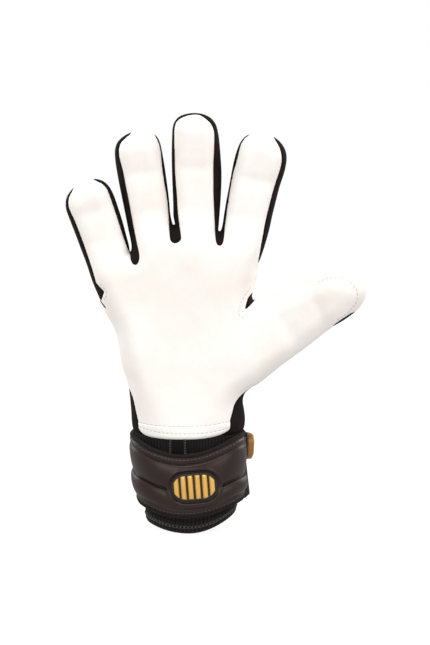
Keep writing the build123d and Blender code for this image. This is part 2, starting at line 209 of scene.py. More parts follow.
def along_across(x, z, origin, direction):
    """Distances along a direction in the palm's plane, and across it."""
    x, z = x - origin[0], z - origin[1]
    return x * direction[0] + z * direction[1], x * direction[1] - z * direction[0]


def smooth_line(points, closed=False, step=1.0):
    """A Catmull-Rom line through points, as points about one step apart."""
    points = np.asarray(points, float)
    total = len(points)
    line = []
    for i in range(total if closed else total - 1):
        p1, p2 = points[i], points[(i + 1) % total]
        p0 = points[i - 1] if (closed or i > 0) else 2 * p1 - p2
        p3 = points[(i + 2) % total] if (closed or i + 2 < total) else 2 * p2 - p1
        before, here, after = (
            max(np.linalg.norm(b - a), 1e-6) ** 0.5 for a, b in ((p0, p1), (p1, p2), (p2, p3)))
        slope1 = (p2 - p1) + here * ((p1 - p0) / before - (p2 - p0) / (before + here))
        slope2 = (p2 - p1) + here * ((p3 - p2) / after - (p3 - p1) / (here + after))
        count = max(int(np.linalg.norm(p2 - p1) / step), 1)
        for t in np.arange(count) / count:
            line.append(
                (2 * t**3 - 3 * t**2 + 1) * p1 + (t**3 - 2 * t**2 + t) * slope1
                + (-2 * t**3 + 3 * t**2) * p2 + (t**3 - t**2) * slope2)
    if not closed:
        line.append(points[-1])
    return np.array(line)


def outline_distance(outline, x, z):
    """Signed distance to a closed outline, positive inside."""
    pts = np.stack([x.ravel(), z.ravel()], 1)
    start, end = outline, np.roll(outline, -1, 0)
    side = (end - start)[None]
    length2 = np.maximum((side * side).sum(2), 1e-12)
    rise = np.where(np.abs(side[..., 1]) < 1e-12, 1e-12, side[..., 1])
    dist, inside = np.empty(len(pts)), np.empty(len(pts), bool)
    batch = 4096  # points at a time, to save memory
    for first in range(0, len(pts), batch):
        some = pts[first : first + batch][:, None, :]
        offset = some - start[None]
        share = np.clip((offset * side).sum(2) / length2, 0, 1)
        gap = offset - side * share[..., None]
        dist[first : first + batch] = np.sqrt((gap * gap).sum(2).min(1))
        spans = (start[None, :, 1] > some[..., 1]) != (end[None, :, 1] > some[..., 1])
        hit = start[None, :, 0] + (some[..., 1] - start[None, :, 1]) * side[..., 0] / rise
        crossings = (spans & (some[..., 0] < hit)).sum(1)
        inside[first : first + batch] = crossings % 2 == 1
    return np.where(inside, dist, -dist).reshape(x.shape)


# ---- mesh makers ----
def set_rest(mesh, pts_mm):
    """Stores each vertex's place in millimetres, which the textures are laid out by."""
    layer = mesh.attributes.new("rest_mm", "FLOAT_VECTOR", "POINT")
    layer.data.foreach_set("vector", np.asarray(pts_mm, np.float32).ravel())


def new_object(name, verts_mm, faces, material, smooth=True, loop_normals=None, uv=None, rest=None):
    mesh = bpy.data.meshes.new(name)
    verts = [tuple(vert) for vert in np.asarray(verts_mm, float) * MM]
    mesh.from_pydata(verts, [], [tuple(int(i) for i in face) for face in faces])
    if smooth:
        mesh.polygons.foreach_set("use_smooth", [True] * len(mesh.polygons))
    if uv is not None:
        layer = mesh.uv_layers.new(name="UVMap")
        index = np.zeros(len(mesh.loops), np.int32)
        mesh.loops.foreach_get("vertex_index", index)
        layer.data.foreach_set("uv", np.asarray(uv, np.float32)[index].ravel())
    if loop_normals is not None:
        mesh.normals_split_custom_set([tuple(normal) for normal in loop_normals])
    mesh.materials.append(material)
    obj = bpy.data.objects.new(name, mesh)
    bpy.context.scene.collection.objects.link(obj)
    if rest is not None:
        set_rest(mesh, rest)
    return obj


def grid_normals(grid, closed=False):
    """Shading normals of a grid of points, which may close on itself in its first direction."""
    down = np.roll(grid, -1, 0) - np.roll(grid, 1, 0)
    if not closed:
        down[0], down[-1] = grid[1] - grid[0], grid[-1] - grid[-2]
    over = np.empty_like(grid)
    over[:, 1:-1] = grid[:, 2:] - grid[:, :-2]
    over[:, 0], over[:, -1] = grid[:, 1] - grid[:, 0], grid[:, -1] - grid[:, -2]
    return unit(np.cross(down, over))


def slab_faces(rows, cols, closed=False):
    """Faces of a slab whose vertices are a grid of outer points and then one of inner points."""
    count = rows * cols
    ids = np.arange(count).reshape(rows, cols)
    faces = []
    for i in range(rows if closed else rows - 1):
        a, b = ids[i], ids[(i + 1) % rows]
        for j in range(cols - 1):
            faces.append((a[j], b[j], b[j + 1], a[j + 1]))
            faces.append(tuple(k + count for k in (a[j], a[j + 1], b[j + 1], b[j])))
        faces.append((a[0], a[0] + count, b[0] + count, b[0]))
        faces.append((a[-1], b[-1], b[-1] + count, a[-1] + count))
    if not closed:
        first, last = ids[0], ids[-1]
        for j in range(cols - 1):
            faces.append((first[j], first[j + 1], first[j + 1] + count, first[j] + count))
            faces.append((last[j + 1], last[j], last[j] + count, last[j + 1] + count))
    return faces


def sheet(name, grid, outward, thick, material, closed=False, uv=None, shade=None):
    """A slab from a grid of surface points, with a face on each side and square edges."""
    rows, cols = grid.shape[:2]
    count = rows * cols
    outer = grid.reshape(-1, 3)
    verts = np.concatenate([outer, (grid - outward * thick).reshape(-1, 3)])
    if shade is None:
        shade = grid_normals(grid, closed)
    faces = np.array(slab_faces(rows, cols, closed))
    front, back = (faces < count).all(1), (faces >= count).all(1)
    loops = shade.reshape(-1, 3)[faces % count] * np.where(back, -1, 1)[:, None, None]
    edge = ~front & ~back
    corner = verts[faces[edge]]
    across = np.cross(corner[:, 1] - corner[:, 0], corner[:, 2] - corner[:, 1])
    loops[edge] = unit(across)[:, None]
    if uv is not None:
        uv = np.concatenate([uv.reshape(-1, 2)] * 2)
    return new_object(name, verts, faces, material, loop_normals=loops.reshape(-1, 3), uv=uv,
                      rest=np.concatenate([outer, outer]))


def ring_faces(rings, sides, closed=False):
    """Quads between rings of points stored one after another."""
    faces = []
    for i in range(rings if closed else rings - 1):
        here, there = i * sides, (i + 1) % rings * sides
        for j in range(sides):
            k = (j + 1) % sides
            faces.append((here + j, here + k, there + k, there + j))
    return faces


def tube(path, radius, sides, flat=None):
    """A roll along a path with blunt pointed ends, as (points, faces).

    With flat given, radius is a pair: the half widths along flat and across it.
    """
    path = np.asarray(path, float)
    tangent = np.empty_like(path)
    tangent[1:-1] = path[2:] - path[:-2]
    tangent[0], tangent[-1] = path[1] - path[0], path[-1] - path[-2]
    tangent = unit(tangent)
    wide, thick = (radius, radius) if flat is None else radius
    angle = 2 * math.pi * np.arange(sides) / sides
    guide = np.array([0.0, 0.0, 1.0] if flat is None else flat)
    rings = []
    for centre, ahead in zip(path, tangent):
        side = guide - ahead * (guide @ ahead)
        if np.linalg.norm(side) < 1e-6:
            side = np.cross(ahead, [1.0, 0.3, 0.2])
        side = unit(side)
        if flat is None:
            guide = side  # carried on from ring to ring, so the tube doesn't twist
        rings.append(centre + np.outer(np.cos(angle) * wide, side)
                     + np.outer(np.sin(angle) * thick, np.cross(ahead, side)))
    verts = list(np.array(rings).reshape(-1, 3))
    faces = ring_faces(len(path), sides)
    cap = min(wide, thick) * 0.6
    start, end = len(verts), len(verts) + 1
    last = (len(path) - 1) * sides
    verts += [path[0] - tangent[0] * cap, path[-1] + tangent[-1] * cap]
    for j in range(sides):
        faces.append((start, (j + 1) % sides, j))
        faces.append((end, last + j, last + (j + 1) % sides))
    return np.array(verts), faces


def join_lumps(name, lumps, material):
    """One object from several (points, faces) lumps."""
    verts, faces, first = [], [], 0
    for lump_verts, lump_faces in lumps:
        verts.append(lump_verts)
        faces += [tuple(k + first for k in face) for face in lump_faces]
        first += len(lump_verts)
    verts = np.concatenate(verts)
    obj = new_object(name, verts, faces, material, rest=verts)
    bm = bmesh.new()
    bm.from_mesh(obj.data)
    bmesh.ops.recalc_face_normals(bm, faces=bm.faces)
    bm.to_mesh(obj.data)
    bm.free()
    return obj


def stitches(path, normals, length, gap, radius):
    """Separate thread stitches along a path, each diving into the fabric at both ends."""
    path, normals = np.asarray(path, float), np.asarray(normals, float)
    run = np.concatenate([[0], np.cumsum(np.linalg.norm(np.diff(path, axis=0), axis=1))])
    count = max(int(run[-1] / (length + gap)), 1)
    pitch = run[-1] / count
    height = np.array([-0.25, 0.096, 0.192, 0.096, -0.25])
    lumps = []
    for k in range(count):
        spots = k * pitch + gap / 2 + (pitch - gap) * np.array([0, 0.18, 0.5, 0.82, 1.0])
        centre = np.stack([np.interp(spots, run, path[:, i]) for i in range(3)], 1)
        outward = unit(np.stack([np.interp(spots, run, normals[:, i]) for i in range(3)], 1))
        lumps.append(tube(centre + outward * height[:, None], radius, sides=6))
    return lumps


def register(obj, slot, *cad, rides="hand"):
    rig.ride(obj, rides)
    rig.slot(obj, slot)
    if cad:
        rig.replaces(obj, *cad)


# ==========================================================================================
# Fingers
# ==========================================================================================
DEEP = 7.0  # a finger's middle plane lies this far behind its bend line
THUMB_ROOT = 9.4  # the thumb's panels begin this far before its base line


class Finger:
    """A finger's places in the palm's plane, as (x, z), and its bends.

    tip: where it ends at rest; upper_length: from the middle bend line to the tip;
    cut: distance from the base line to the seam between lower and upper panels;
    root_z: height where its panels begin; curl: resting bend of each line, in degrees.
    Outlines run base to tip on the left and back on the right, as pairs of distances
    (along, across) from the base line at rest: left and right for the finger itself, and
    white_left and white_right for the edge of the white latex on the palm side.
    """

    def __init__(self, name, tip, upper_length, cut, root_z=None, curl=(4.0, 8.0), **outlines):
        self.name, self.cut, self.root_z, self.outlines = name, cut, root_z, outlines
        self.base_joint = np.array(JOINTS[f"{name}_base_bend"]["pos_m"]) * 1000
        self.mid_joint = np.array(JOINTS[f"{name}_tip_bend"]["pos_m"]) * 1000
        self.base, mid = self.base_joint[[0, 2]], self.mid_joint[[0, 2]]
        self.lower_dir, self.upper_dir = unit(mid - self.base), unit(np.array(tip) - mid)
        self.axis = unit(np.array(tip) - self.base)
        self.lower_curl, self.upper_curl = (math.radians(bend) for bend in curl)
        self.full_curl = math.radians(sum(curl))
        self.lower_length = np.linalg.norm(mid - self.base)
        # distances and middle point once the finger is straight
        self.lower_reach = self.lower_length / math.cos(self.lower_curl)
        self.upper_reach = upper_length / math.cos(self.full_curl)
        self.mid_flat = self.base + self.lower_dir * self.lower_reach

    def stretch(self, along):
        """How much farther out a resting point lies when the finger is straight."""
        bend, full = self.lower_curl, self.full_curl
        past = along - self.lower_length
        low = (along - DEEP * math.sin(bend)) / math.cos(bend) - along
        high = (self.lower_reach - self.lower_length
                + (past - DEEP * math.sin(full)) / math.cos(full) - past)
        upper = ease((past + 8) / 16)
        return ease((along + 8) / 16) * low * (1 - upper) + upper * high

    def line(self, key):
        """One of the outlines, where it lies when the finger is straight."""
        across_dir = np.array([self.axis[1], -self.axis[0]])
        return [tuple(self.base + self.axis * (along + self.stretch(along)) + across_dir * across)
                for along, across in self.outlines[key]]

    def straighten(self, points):
        """Resting (x, z) points, put where they lie when the finger is straight."""
        points = [np.array(point, float) for point in points]
        return [tuple(point + self.axis * self.stretch(float((point - self.base) @ self.axis)))
                for point in points]

    def lower(self, x, z):
        """Distances along and across the straight finger from its base line."""
        return along_across(x, z, self.base, self.lower_dir)

    def upper(self, x, z):
        """Distances along and across the straight finger from its middle line."""
        return along_across(x, z, self.mid_flat, self.upper_dir)

    def lower_blend(self):
        """Where the base bend starts and ends on the resting glove, in metres."""
        if self.name == "thumb":
            ahead = np.array([self.lower_dir[0], 0, self.lower_dir[1]])
            start, end = -ahead * THUMB_ROOT, ahead * 9.6
        else:
            height = self.base[1] - self.root_z
            start, end = -np.array([0, 0, height]), np.array([0, 0, height + 1.0])
        return dict(start=tuple((self.base_joint + start) * MM),
                    end=tuple((self.base_joint + end) * MM))

    def upper_blend(self):
        """Where the middle bend starts and ends on the resting glove, in metres."""
        bend = self.lower_curl + self.upper_curl / 2
        x, z = unit(self.lower_dir + self.upper_dir)
        ahead = np.array([x * math.cos(bend), -math.sin(bend), z * math.cos(bend)])
        return dict(start=tuple((self.mid_joint - ahead * 9.6) * MM),
                    end=tuple((self.mid_joint + ahead * 9.6) * MM))


PINKY = Finger(
    "pinky", tip=(-69.2, 240.1), upper_length=21.31, cut=11.3, root_z=191.4,
    left=[(-8, -14.5), (2, -15.5), (12, -16.4), (22, -17.4), (28, -17.8), (32, -17.2),
          (36, -15.4), (39.2, -12.1), (41.8, -7.6), (43.7, -2.5)],
    right=[(44.2, 2.0), (42.6, 8.2), (40, 12.0), (36, 14.5), (32, 15.6), (27, 16.2),
           (22, 16.5), (12, 17.0), (2, 17.0), (-6, 17.0)],
    white_left=[(-28, -10.5), (-18, -10.6), (-8, -11.2), (2, -12.0), (12, -12.8),
                (22, -13.9), (28, -14.9), (32, -15.1), (36, -13.9), (39.2, -11.1),
                (42.2, -7.4), (44.4, -2.5)],
    white_right=[(45.0, 1.4), (43.6, 5.6), (42.3, 8.0), (40.8, 10.2), (38.6, 12.1),
                 (36.2, 13.2), (32, 13.9), (27, 14.3), (22, 14.5), (12, 15.0), (2, 15.4),
                 (-8, 16.1), (-13, 16.6)])
RING = Finger(
    "ring", tip=(-35.0, 273.4), upper_length=28.06, cut=13.5, root_z=209.9,
    left=[(-22, -14.1), (-8, -14.6), (2, -15.1), (12, -15.6), (22, -16.1), (32, -16.4),
          (41, -16.1), (46, -15.2), (49.8, -13.3), (52.6, -9.9), (54.6, -5.6)],
    right=[(55.8, 0.6), (54.8, 6.4), (52.8, 11.0), (50, 14.1), (46, 15.4), (40, 15.9),
           (32, 16.1), (22, 16.1), (12, 16.0), (4, 15.7), (-3, 15.3)],
    white_left=[(-28, -9.1), (-18, -9.8), (-8, -10.4), (2, -10.8), (12, -11.1),
                (22, -11.6), (32, -11.9), (37, -12.4), (42, -12.9), (46.5, -12.5),
                (49.8, -11.2), (52.0, -8.9), (54.2, -5.2), (55.9, -1.0)],
    white_right=[(56.0, 3.4), (54.6, 8.0), (52.4, 11.9), (50.2, 13.6), (47, 14.7),
                 (42, 15.2), (32, 14.9), (22, 14.7), (12, 14.9), (2, 14.7), (-8, 14.0),
                 (-18, 13.3)])
MIDDLE = Finger(
    "middle", tip=(4.9, 285.7), upper_length=36.3, cut=15.0, root_z=209.9,
    left=[(-3, -15.4), (4, -15.4), (12, -15.5), (22, -15.7), (32, -15.8), (42, -15.6),
          (52, -15.1), (58, -14.5), (61.6, -13.0), (64.4, -10.2), (66.0, -6.0)],
    right=[(66.7, 0.0), (66.0, 5.4), (64.2, 9.8), (61.6, 12.8), (58.4, 14.7), (52, 16.2),
           (46, 16.8), (37, 17.4), (27, 17.8), (17, 17.5), (7, 16.8), (-3, 15.9), (-9, 15.4)],
    white_left=[(-18, -10.3), (-13, -10.7), (-8, -11.6), (2, -12.5), (12, -12.9),
                (22, -13.5), (32, -13.8), (42, -13.8), (52, -13.7), (58, -13.4),
                (61.4, -12.3), (64.0, -9.6), (65.7, -5.4)],
    white_right=[(66.4, 0.0), (65.9, 4.2), (64.0, 7.9), (61.4, 10.8), (58.5, 12.6),
                 (54, 13.5), (47, 13.4), (42, 13.1), (32, 12.5), (22, 12.4), (12, 12.3),
                 (2, 12.6), (-8, 12.9), (-16, 13.1)])
INDEX = Finger(
    "index", tip=(51.7, 272.2), upper_length=31.4, cut=14.0, root_z=205.8,
    left=[(-7, -15.4), (2, -15.7), (12, -15.9), (22, -15.9), (32, -16.0), (40, -15.8),
          (47, -15.0), (52, -13.6), (55.4, -11.4), (58.0, -7.6), (59.6, -3.0)],
    right=[(59.8, 1.6), (58.9, 6.4), (57.0, 10.9), (54.2, 14.6), (50.6, 17.3), (46, 18.8),
           (40, 19.2), (34, 18.8), (27, 17.9), (17, 17.3), (7, 16.8), (-3, 16.6),
           (-13, 15.8), (-23, 14.5)],
    white_left=[(-14, -13.2), (-8, -13.8), (2, -14.4), (12, -14.8), (22, -15.1),
                (29, -15.1), (37, -14.6), (43, -14.2), (48, -13.9), (52, -13.1),
                (55.3, -11.2), (58.2, -7.5), (60.1, -3.0)],
    white_right=[(60.3, 1.8), (59.3, 5.9), (57.5, 8.9), (54.9, 11.6), (51.8, 13.7),
                 (47, 15.4), (42, 15.8), (32, 14.7), (22, 13.8), (12, 13.2), (2, 12.8),
                 (-8, 12.9), (-18, 13.0), (-26, 13.2)])
THUMB = Finger("thumb", tip=(119.3, 168.5), upper_length=32.7, cut=13.5, curl=(12.0, 10.0))
FINGERS = [PINKY, RING, MIDDLE, INDEX, THUMB]

# ==========================================================================================
# Outlines of the hand in the palm's plane, as (x, z)
# ==========================================================================================
WRIST_LEFT = [(-32.4, 38.0), (-33.2, 48.0), (-34.6, 58.0), (-36.8, 65.0), (-38.4, 71.5)]
PINKY_SIDE = [
    (-39.1, 82.2), (-39.8, 91.0), (-41.0, 101.4), (-44.4, 112.0), (-46.4, 123.0),
    (-48.0, 133.0), (-50.6, 140.5), (-54.6, 147.6), (-59.2, 157.4), (-64.6, 170.0),
    (-68.6, 182.0)]
INDEX_SIDE = [
    (48.3, 182.5), (47.4, 175.0), (45.8, 169.0), (44.6, 163.5), (44.4, 160.0),
    (46.0, 158.2), (51.2, 159.2)]
# the thumb as it rests: its upper side out to the tip, then its lower side back
THUMB_OUTLINE = [
    (58.0, 161.4), (64.1, 164.5), (72.0, 168.2), (80.5, 171.8), (90.0, 177.0),
    (98.0, 179.8), (106.4, 180.1), (112.6, 177.8), (117.4, 173.0), (119.9, 166.8),
    (119.2, 160.6),
    (116.2, 155.4), (112.6, 151.0), (106.4, 146.0), (99.0, 141.0), (92.0, 135.6),
    (84.6, 129.0), (75.0, 121.6), (65.7, 114.6), (57.4, 107.6), (50.1, 101.6)]
WRIST_RIGHT = [
    (43.9, 97.6), (39.8, 94.0), (38.2, 88.5), (39.1, 82.2), (39.8, 76.0), (39.4, 70.6),
    (37.6, 65.6), (35.6, 58.0), (34.4, 48.0), (33.8, 38.0)]
PINKY_CROTCH = [(-39.15, 190.9)]
RING_CROTCH = [(-9.95, 210.2), (-9.2, 209.3), (-8.4, 210.2)]
MIDDLE_CROTCH = [(21.2, 206.2), (22.1, 205.2), (23.1, 206.2)]

HAND_OUTLINE = smooth_line(
    WRIST_LEFT + PINKY_SIDE + PINKY.line("left") + PINKY.line("right") + PINKY_CROTCH
    + RING.line("left") + RING.line("right") + RING_CROTCH
    + MIDDLE.line("left") + MIDDLE.line("right") + MIDDLE_CROTCH
    + INDEX.line("left") + INDEX.line("right") + INDEX_SIDE
    + THUMB.straighten(THUMB_OUTLINE) + WRIST_RIGHT,
    closed=True, step=1.2)

# The white latex's edge, seen from the palm side. Where the latex wraps round the side of
# the hand the edge lies outside the hand's outline.
WHITE_HEM = [
    (-33.4, 74.4), (-32.8, 70.5), (-29.2, 67.2), (-18.8, 65.7), (-2.7, 65.5),
    (12.2, 66.2), (23.0, 68.2), (28.7, 71.3), (29.6, 76.0)]
WHITE_PINKY_SIDE = [
    (-33.4, 74.4), (-34.6, 79.0), (-35.7, 84.0), (-36.8, 89.4), (-38.6, 94.6),
    (-41.2, 99.2), (-44.6, 103.6), (-48.0, 110.0), (-50.0, 118.0), (-51.2, 127.0),
    (-52.6, 134.0), (-55.8, 141.0), (-60.0, 147.0), (-62.4, 151.4), (-61.4, 155.4),
    (-58.9, 158.6)]
WHITE_NOTCH = [(-56.3, 165.2), (-60.9, 169.6)]
WHITE_PINKY_CROTCH = [(-38.3, 187.0), (-36.6, 184.2), (-34.4, 183.6), (-32.9, 185.6)]
WHITE_RING_CROTCH = [(-11.3, 200.6), (-9.6, 198.6), (-7.0, 198.4), (-4.8, 199.8)]
WHITE_MIDDLE_CROTCH = [(19.7, 199.4), (20.8, 197.0), (22.6, 196.5), (24.2, 198.2)]
WHITE_INDEX_SIDE = [
    (48.9, 182.0), (48.6, 176.0), (46.9, 169.4), (45.6, 165.4), (43.9, 163.2)]
WHITE_THUMB_CROTCH_IN = [(43.9, 163.2), (41.6, 160.4), (40.2, 156.6), (39.4, 152.8)]
WHITE_THUMB_CROTCH_OUT = [(39.4, 152.8), (41.8, 154.8), (45.4, 157.9), (48.6, 160.6)]
WHITE_THUMB = [
    (56.0, 164.4), (63.0, 168.2), (71.0, 172.0), (79.5, 175.4), (89.0, 180.6),
    (98.0, 183.4), (107.2, 183.4), (114.4, 180.4), (119.8, 174.8), (122.6, 167.0),
    (121.8, 160.0), (117.2, 154.4), (112.6, 152.4), (108.0, 149.2), (103.8, 145.8),
    (100.6, 142.9), (98.4, 139.4), (94.6, 133.6), (86.8, 126.0), (77.0, 118.2),
    (67.4, 111.0), (58.6, 103.8), (52.4, 100.4)]
WHITE_WRIST = [
    (47.6, 99.6), (43.8, 98.2), (39.8, 95.6), (35.8, 92.2), (32.6, 87.8), (30.9, 82.2),
    (29.2, 76.0)]

WHITE_OUTLINE = np.concatenate([
    smooth_line(WHITE_PINKY_SIDE),
    WHITE_NOTCH,
    smooth_line(
        [(-61.4, 171.0)] + PINKY.line("white_left") + PINKY.line("white_right")
        + WHITE_PINKY_CROTCH + RING.line("white_left") + RING.line("white_right")
        + WHITE_RING_CROTCH + MIDDLE.line("white_left") + MIDDLE.line("white_right")
        + WHITE_MIDDLE_CROTCH + INDEX.line("white_left") + INDEX.line("white_right")
        + WHITE_INDEX_SIDE),
    smooth_line(WHITE_THUMB_CROTCH_IN)[1:],
    smooth_line(WHITE_THUMB_CROTCH_OUT)[1:],
    smooth_line([(48.6, 160.6)] + THUMB.straighten(WHITE_THUMB) + WHITE_WRIST)[1:],
    smooth_line(WHITE_HEM)[::-1][1:-1]])

PAD_OUTLINE = smooth_line(
    [(-31, 193), (-42, 180), (-40, 160), (-33, 138), (-27, 120), (-14, 109), (4, 106),
     (22, 110), (31, 122), (36, 142), (38, 164), (37, 184), (28, 196), (14, 200),
     (-2, 201), (-18, 200)],
    closed=True, step=1.5)

# ==========================================================================================
# The hand's thickness, and the distances that its pieces are divided by
# ==========================================================================================
GRID_STEP = 1.0
GRID_X, GRID_Z = np.arange(-96.0, 135.0, GRID_STEP), np.arange(36.0, 300.0, GRID_STEP)

# height of the line where the palm thins into the fingers, across the hand
KNUCKLE_X = [-72, -58, -46, -36, -27, 6, 22, 41, 52]
KNUCKLE_Z = [194, 197.6, 203, 211, 218, 218.8, 217, 213.3, 209]


def thumb_ceiling(x):
    """The line between the thumb and the index finger's side."""
    return 0.52 * (x - 45)


def hand_shape(x, z):
    """Middle depth, half thickness and edge radius of the hand at each point of its plane."""
    finger = ease((z - (np.interp(x, KNUCKLE_X, KNUCKLE_Z) - 26)) / 32)
    along, _ = along_across(x, z, THUMB.base, THUMB.axis)
    thumb = (ease((along + 30) / 34) * (1 - ease((z - (160.5 + thumb_ceiling(x))) / 8))
             * ease((x - 38) / 14))
    wrist = ease((112 - z) / 46)
    drop = 0.10 * np.clip(66 - z, 0, 60)
    middle = lerp(lerp(-2.0 + 1.0 * finger, -6.6, thumb), 0.0, wrist)
    half = lerp(lerp(17.0 - 5.2 * finger, 12.4, thumb), 23.9 - drop, wrist)
    radius = lerp(lerp(15.0 - 3.2 * finger, 12.4, thumb), 36.0 - drop, wrist)
    return middle, half, radius


def edge_profile(inset, radius):
    """Squared share of the half thickness, by distance in from the outline."""
    rounded = 2 * inset / radius - (inset / radius) ** 2
    return np.where(inset < 0, 2 * inset / radius, np.where(inset < radius, rounded, 1.0))


grid_x, grid_z = np.meshgrid(GRID_X, GRID_Z, indexing="ij")
INSET = outline_distance(HAND_OUTLINE, grid_x, grid_z)
WHITE_INSET = outline_distance(WHITE_OUTLINE, grid_x, grid_z)
PAD_INSET = outline_distance(PAD_OUTLINE, grid_x, grid_z)
MIDDLE_Y, HALF, RADIUS = hand_shape(grid_x, grid_z)
DEPTH2 = HALF**2 * edge_profile(INSET, RADIUS)


def sample(grid, x, z):
    """Reads a grid at any place, between its points."""
    across = np.clip((x - GRID_X[0]) / GRID_STEP, 0, len(GRID_X) - 1.001)
    up = np.clip((z - GRID_Z[0]) / GRID_STEP, 0, len(GRID_Z) - 1.001)
    i, j = across.astype(int), up.astype(int)
    a, b = across - i, up - j
    return (grid[i, j] * (1 - a) * (1 - b) + grid[i + 1, j] * a * (1 - b)
            + grid[i, j + 1] * (1 - a) * b + grid[i + 1, j + 1] * a * b)


def level(pts):
    """Zero on the hand's surface and negative inside it."""
    x, y, z = pts.T
    return (y - sample(MIDDLE_Y, x, z)) ** 2 - sample(DEPTH2, x, z)


def project(pts, times):
    """Moves points onto the hand's surface."""
    for _ in range(times):
        slope = gradient(level, pts, 0.15)
        size = level(pts) / np.maximum((slope * slope).sum(1), 1e-6)
        step = size[:, None] * slope
        length = np.linalg.norm(step, axis=1, keepdims=True)
        pts = pts - step * np.minimum(1.0, 0.8 / np.maximum(length, 1e-9))
    return pts


def around(pts):
    """Distance round the section from the outline's edge: positive on the palm side."""
    x, y, z = pts.T
    inset, radius = sample(INSET, x, z), sample(RADIUS, x, z)
    forward = -(y - sample(MIDDLE_Y, x, z)) / sample(HALF, x, z)
    angle = np.arctan2(forward, np.maximum(1 - np.maximum(inset, 0) / radius, 0.0) + 1e-9)
    return radius * angle + np.sign(forward) * np.maximum(inset - radius, 0)


def white_margin(pts):
    """Distance round the section from the outline's edge to the white latex's edge."""
    x, _, z = pts.T
    margin, radius = sample(INSET, x, z) - sample(WHITE_INSET, x, z), sample(RADIUS, x, z)
    size = np.abs(margin)
    curved = radius * np.arccos(np.clip(1 - size / radius, -1, 1))
    straight = radius * math.pi / 2 + size - radius
    return np.sign(margin) * np.where(size < radius, curved, straight)


# Each into_... function gives the distance inside one piece, negative outside it.
BACK_EDGE = 8.0  # the back panel begins this far round from the outline


def into_latex(pts):
    return around(pts) - white_margin(pts)


def into_back(pts):
    return -around(pts) - BACK_EDGE


def into_sleeve(pts):
    _, y, z = pts.T
    return (66.6 + 0.28 * np.maximum(y, 0) + 3.0 * ease(y / 14)) - z


def finger_of(x, z):
    """Which finger a point beyond the crotches belongs to, as its place in FINGERS."""
    side = np.where(
        x < -39.1 - 0.217 * (z - 190.6), 0,
        np.where(x < -9.2 - 0.083 * (z - 209.3), 1, np.where(x < 22.1 + 0.11 * (z - 205.2), 2, 3)))
    return np.where((z < 158.6 + thumb_ceiling(x) + 3.0) & (x > 44), 4, side)


def finger_coords(pts):
    """For each point: its finger, distances along it from the base line and from the middle
    line, distance across it, and the finger's length beyond the middle line."""
    x, _, z = pts.T
    who = finger_of(x, z)
    low_along, up_along, across, reach = (np.zeros(len(pts)) for _ in range(4))
    for i, finger in enumerate(FINGERS):
        mine = who == i
        low_along[mine], low_across = finger.lower(x[mine], z[mine])
        past, up_across = finger.upper(x[mine], z[mine])
        up_along[mine], reach[mine] = past, finger.upper_reach
        across[mine] = lerp(low_across, up_across, ease((past + 4) / 8))
    return who, low_along, up_along, across, reach


def into_pad(pts):
    """Inside the raised pads of the back: one over the knuckles and three on each finger."""
    who, low, up, across, reach = finger_coords(pts)
    cut = np.array([finger.cut for finger in FINGERS])[who]
    wide = np.where(who == 4, 9.0, np.where(who == 0, 8.0, 8.8)) - np.abs(across)
    first = np.minimum(low - 4.0, cut - 0.9 - low)
    second = np.minimum(low - cut - 0.9, -2.6 - up)
    third = np.minimum(up - 2.6, reach - 11.0 - up)
    long = np.maximum(np.maximum(first, second), third)
    corner = 2.2
    rounded = corner - np.hypot(np.maximum(corner - wide, 0), np.maximum(corner - long, 0))
    nearest = np.minimum(wide, long)
    in_corner = (nearest > 0) & (nearest <= corner)
    finger = np.where(in_corner, rounded, nearest)
    return np.maximum(sample(PAD_INSET, pts[:, 0], pts[:, 2]), np.where(low > 2, finger, -5.0))


def into_tab(pts):
    """Inside the small gold tab at the back of each fingertip."""
    _, _, up, across, reach = finger_coords(pts)
    long = np.minimum(up - (reach - 9.0), reach - 3.4 - up)
    wide = 5.4 - np.abs(across)
    nearest = np.minimum(long, wide)
    corner = 1.5
    rounded = corner - np.hypot(np.maximum(corner - wide, 0), np.maximum(corner - long, 0))
    return np.where(nearest > 0, np.minimum(nearest, rounded), nearest)


# ==========================================================================================
# The hand's surface, cut into pieces
# ==========================================================================================
GUSSET, LATEX, BACK, SLEEVE, PAD, TAB = range(6)
CUT_OFF = 4  # added to a piece below the sleeve's line until it is renamed


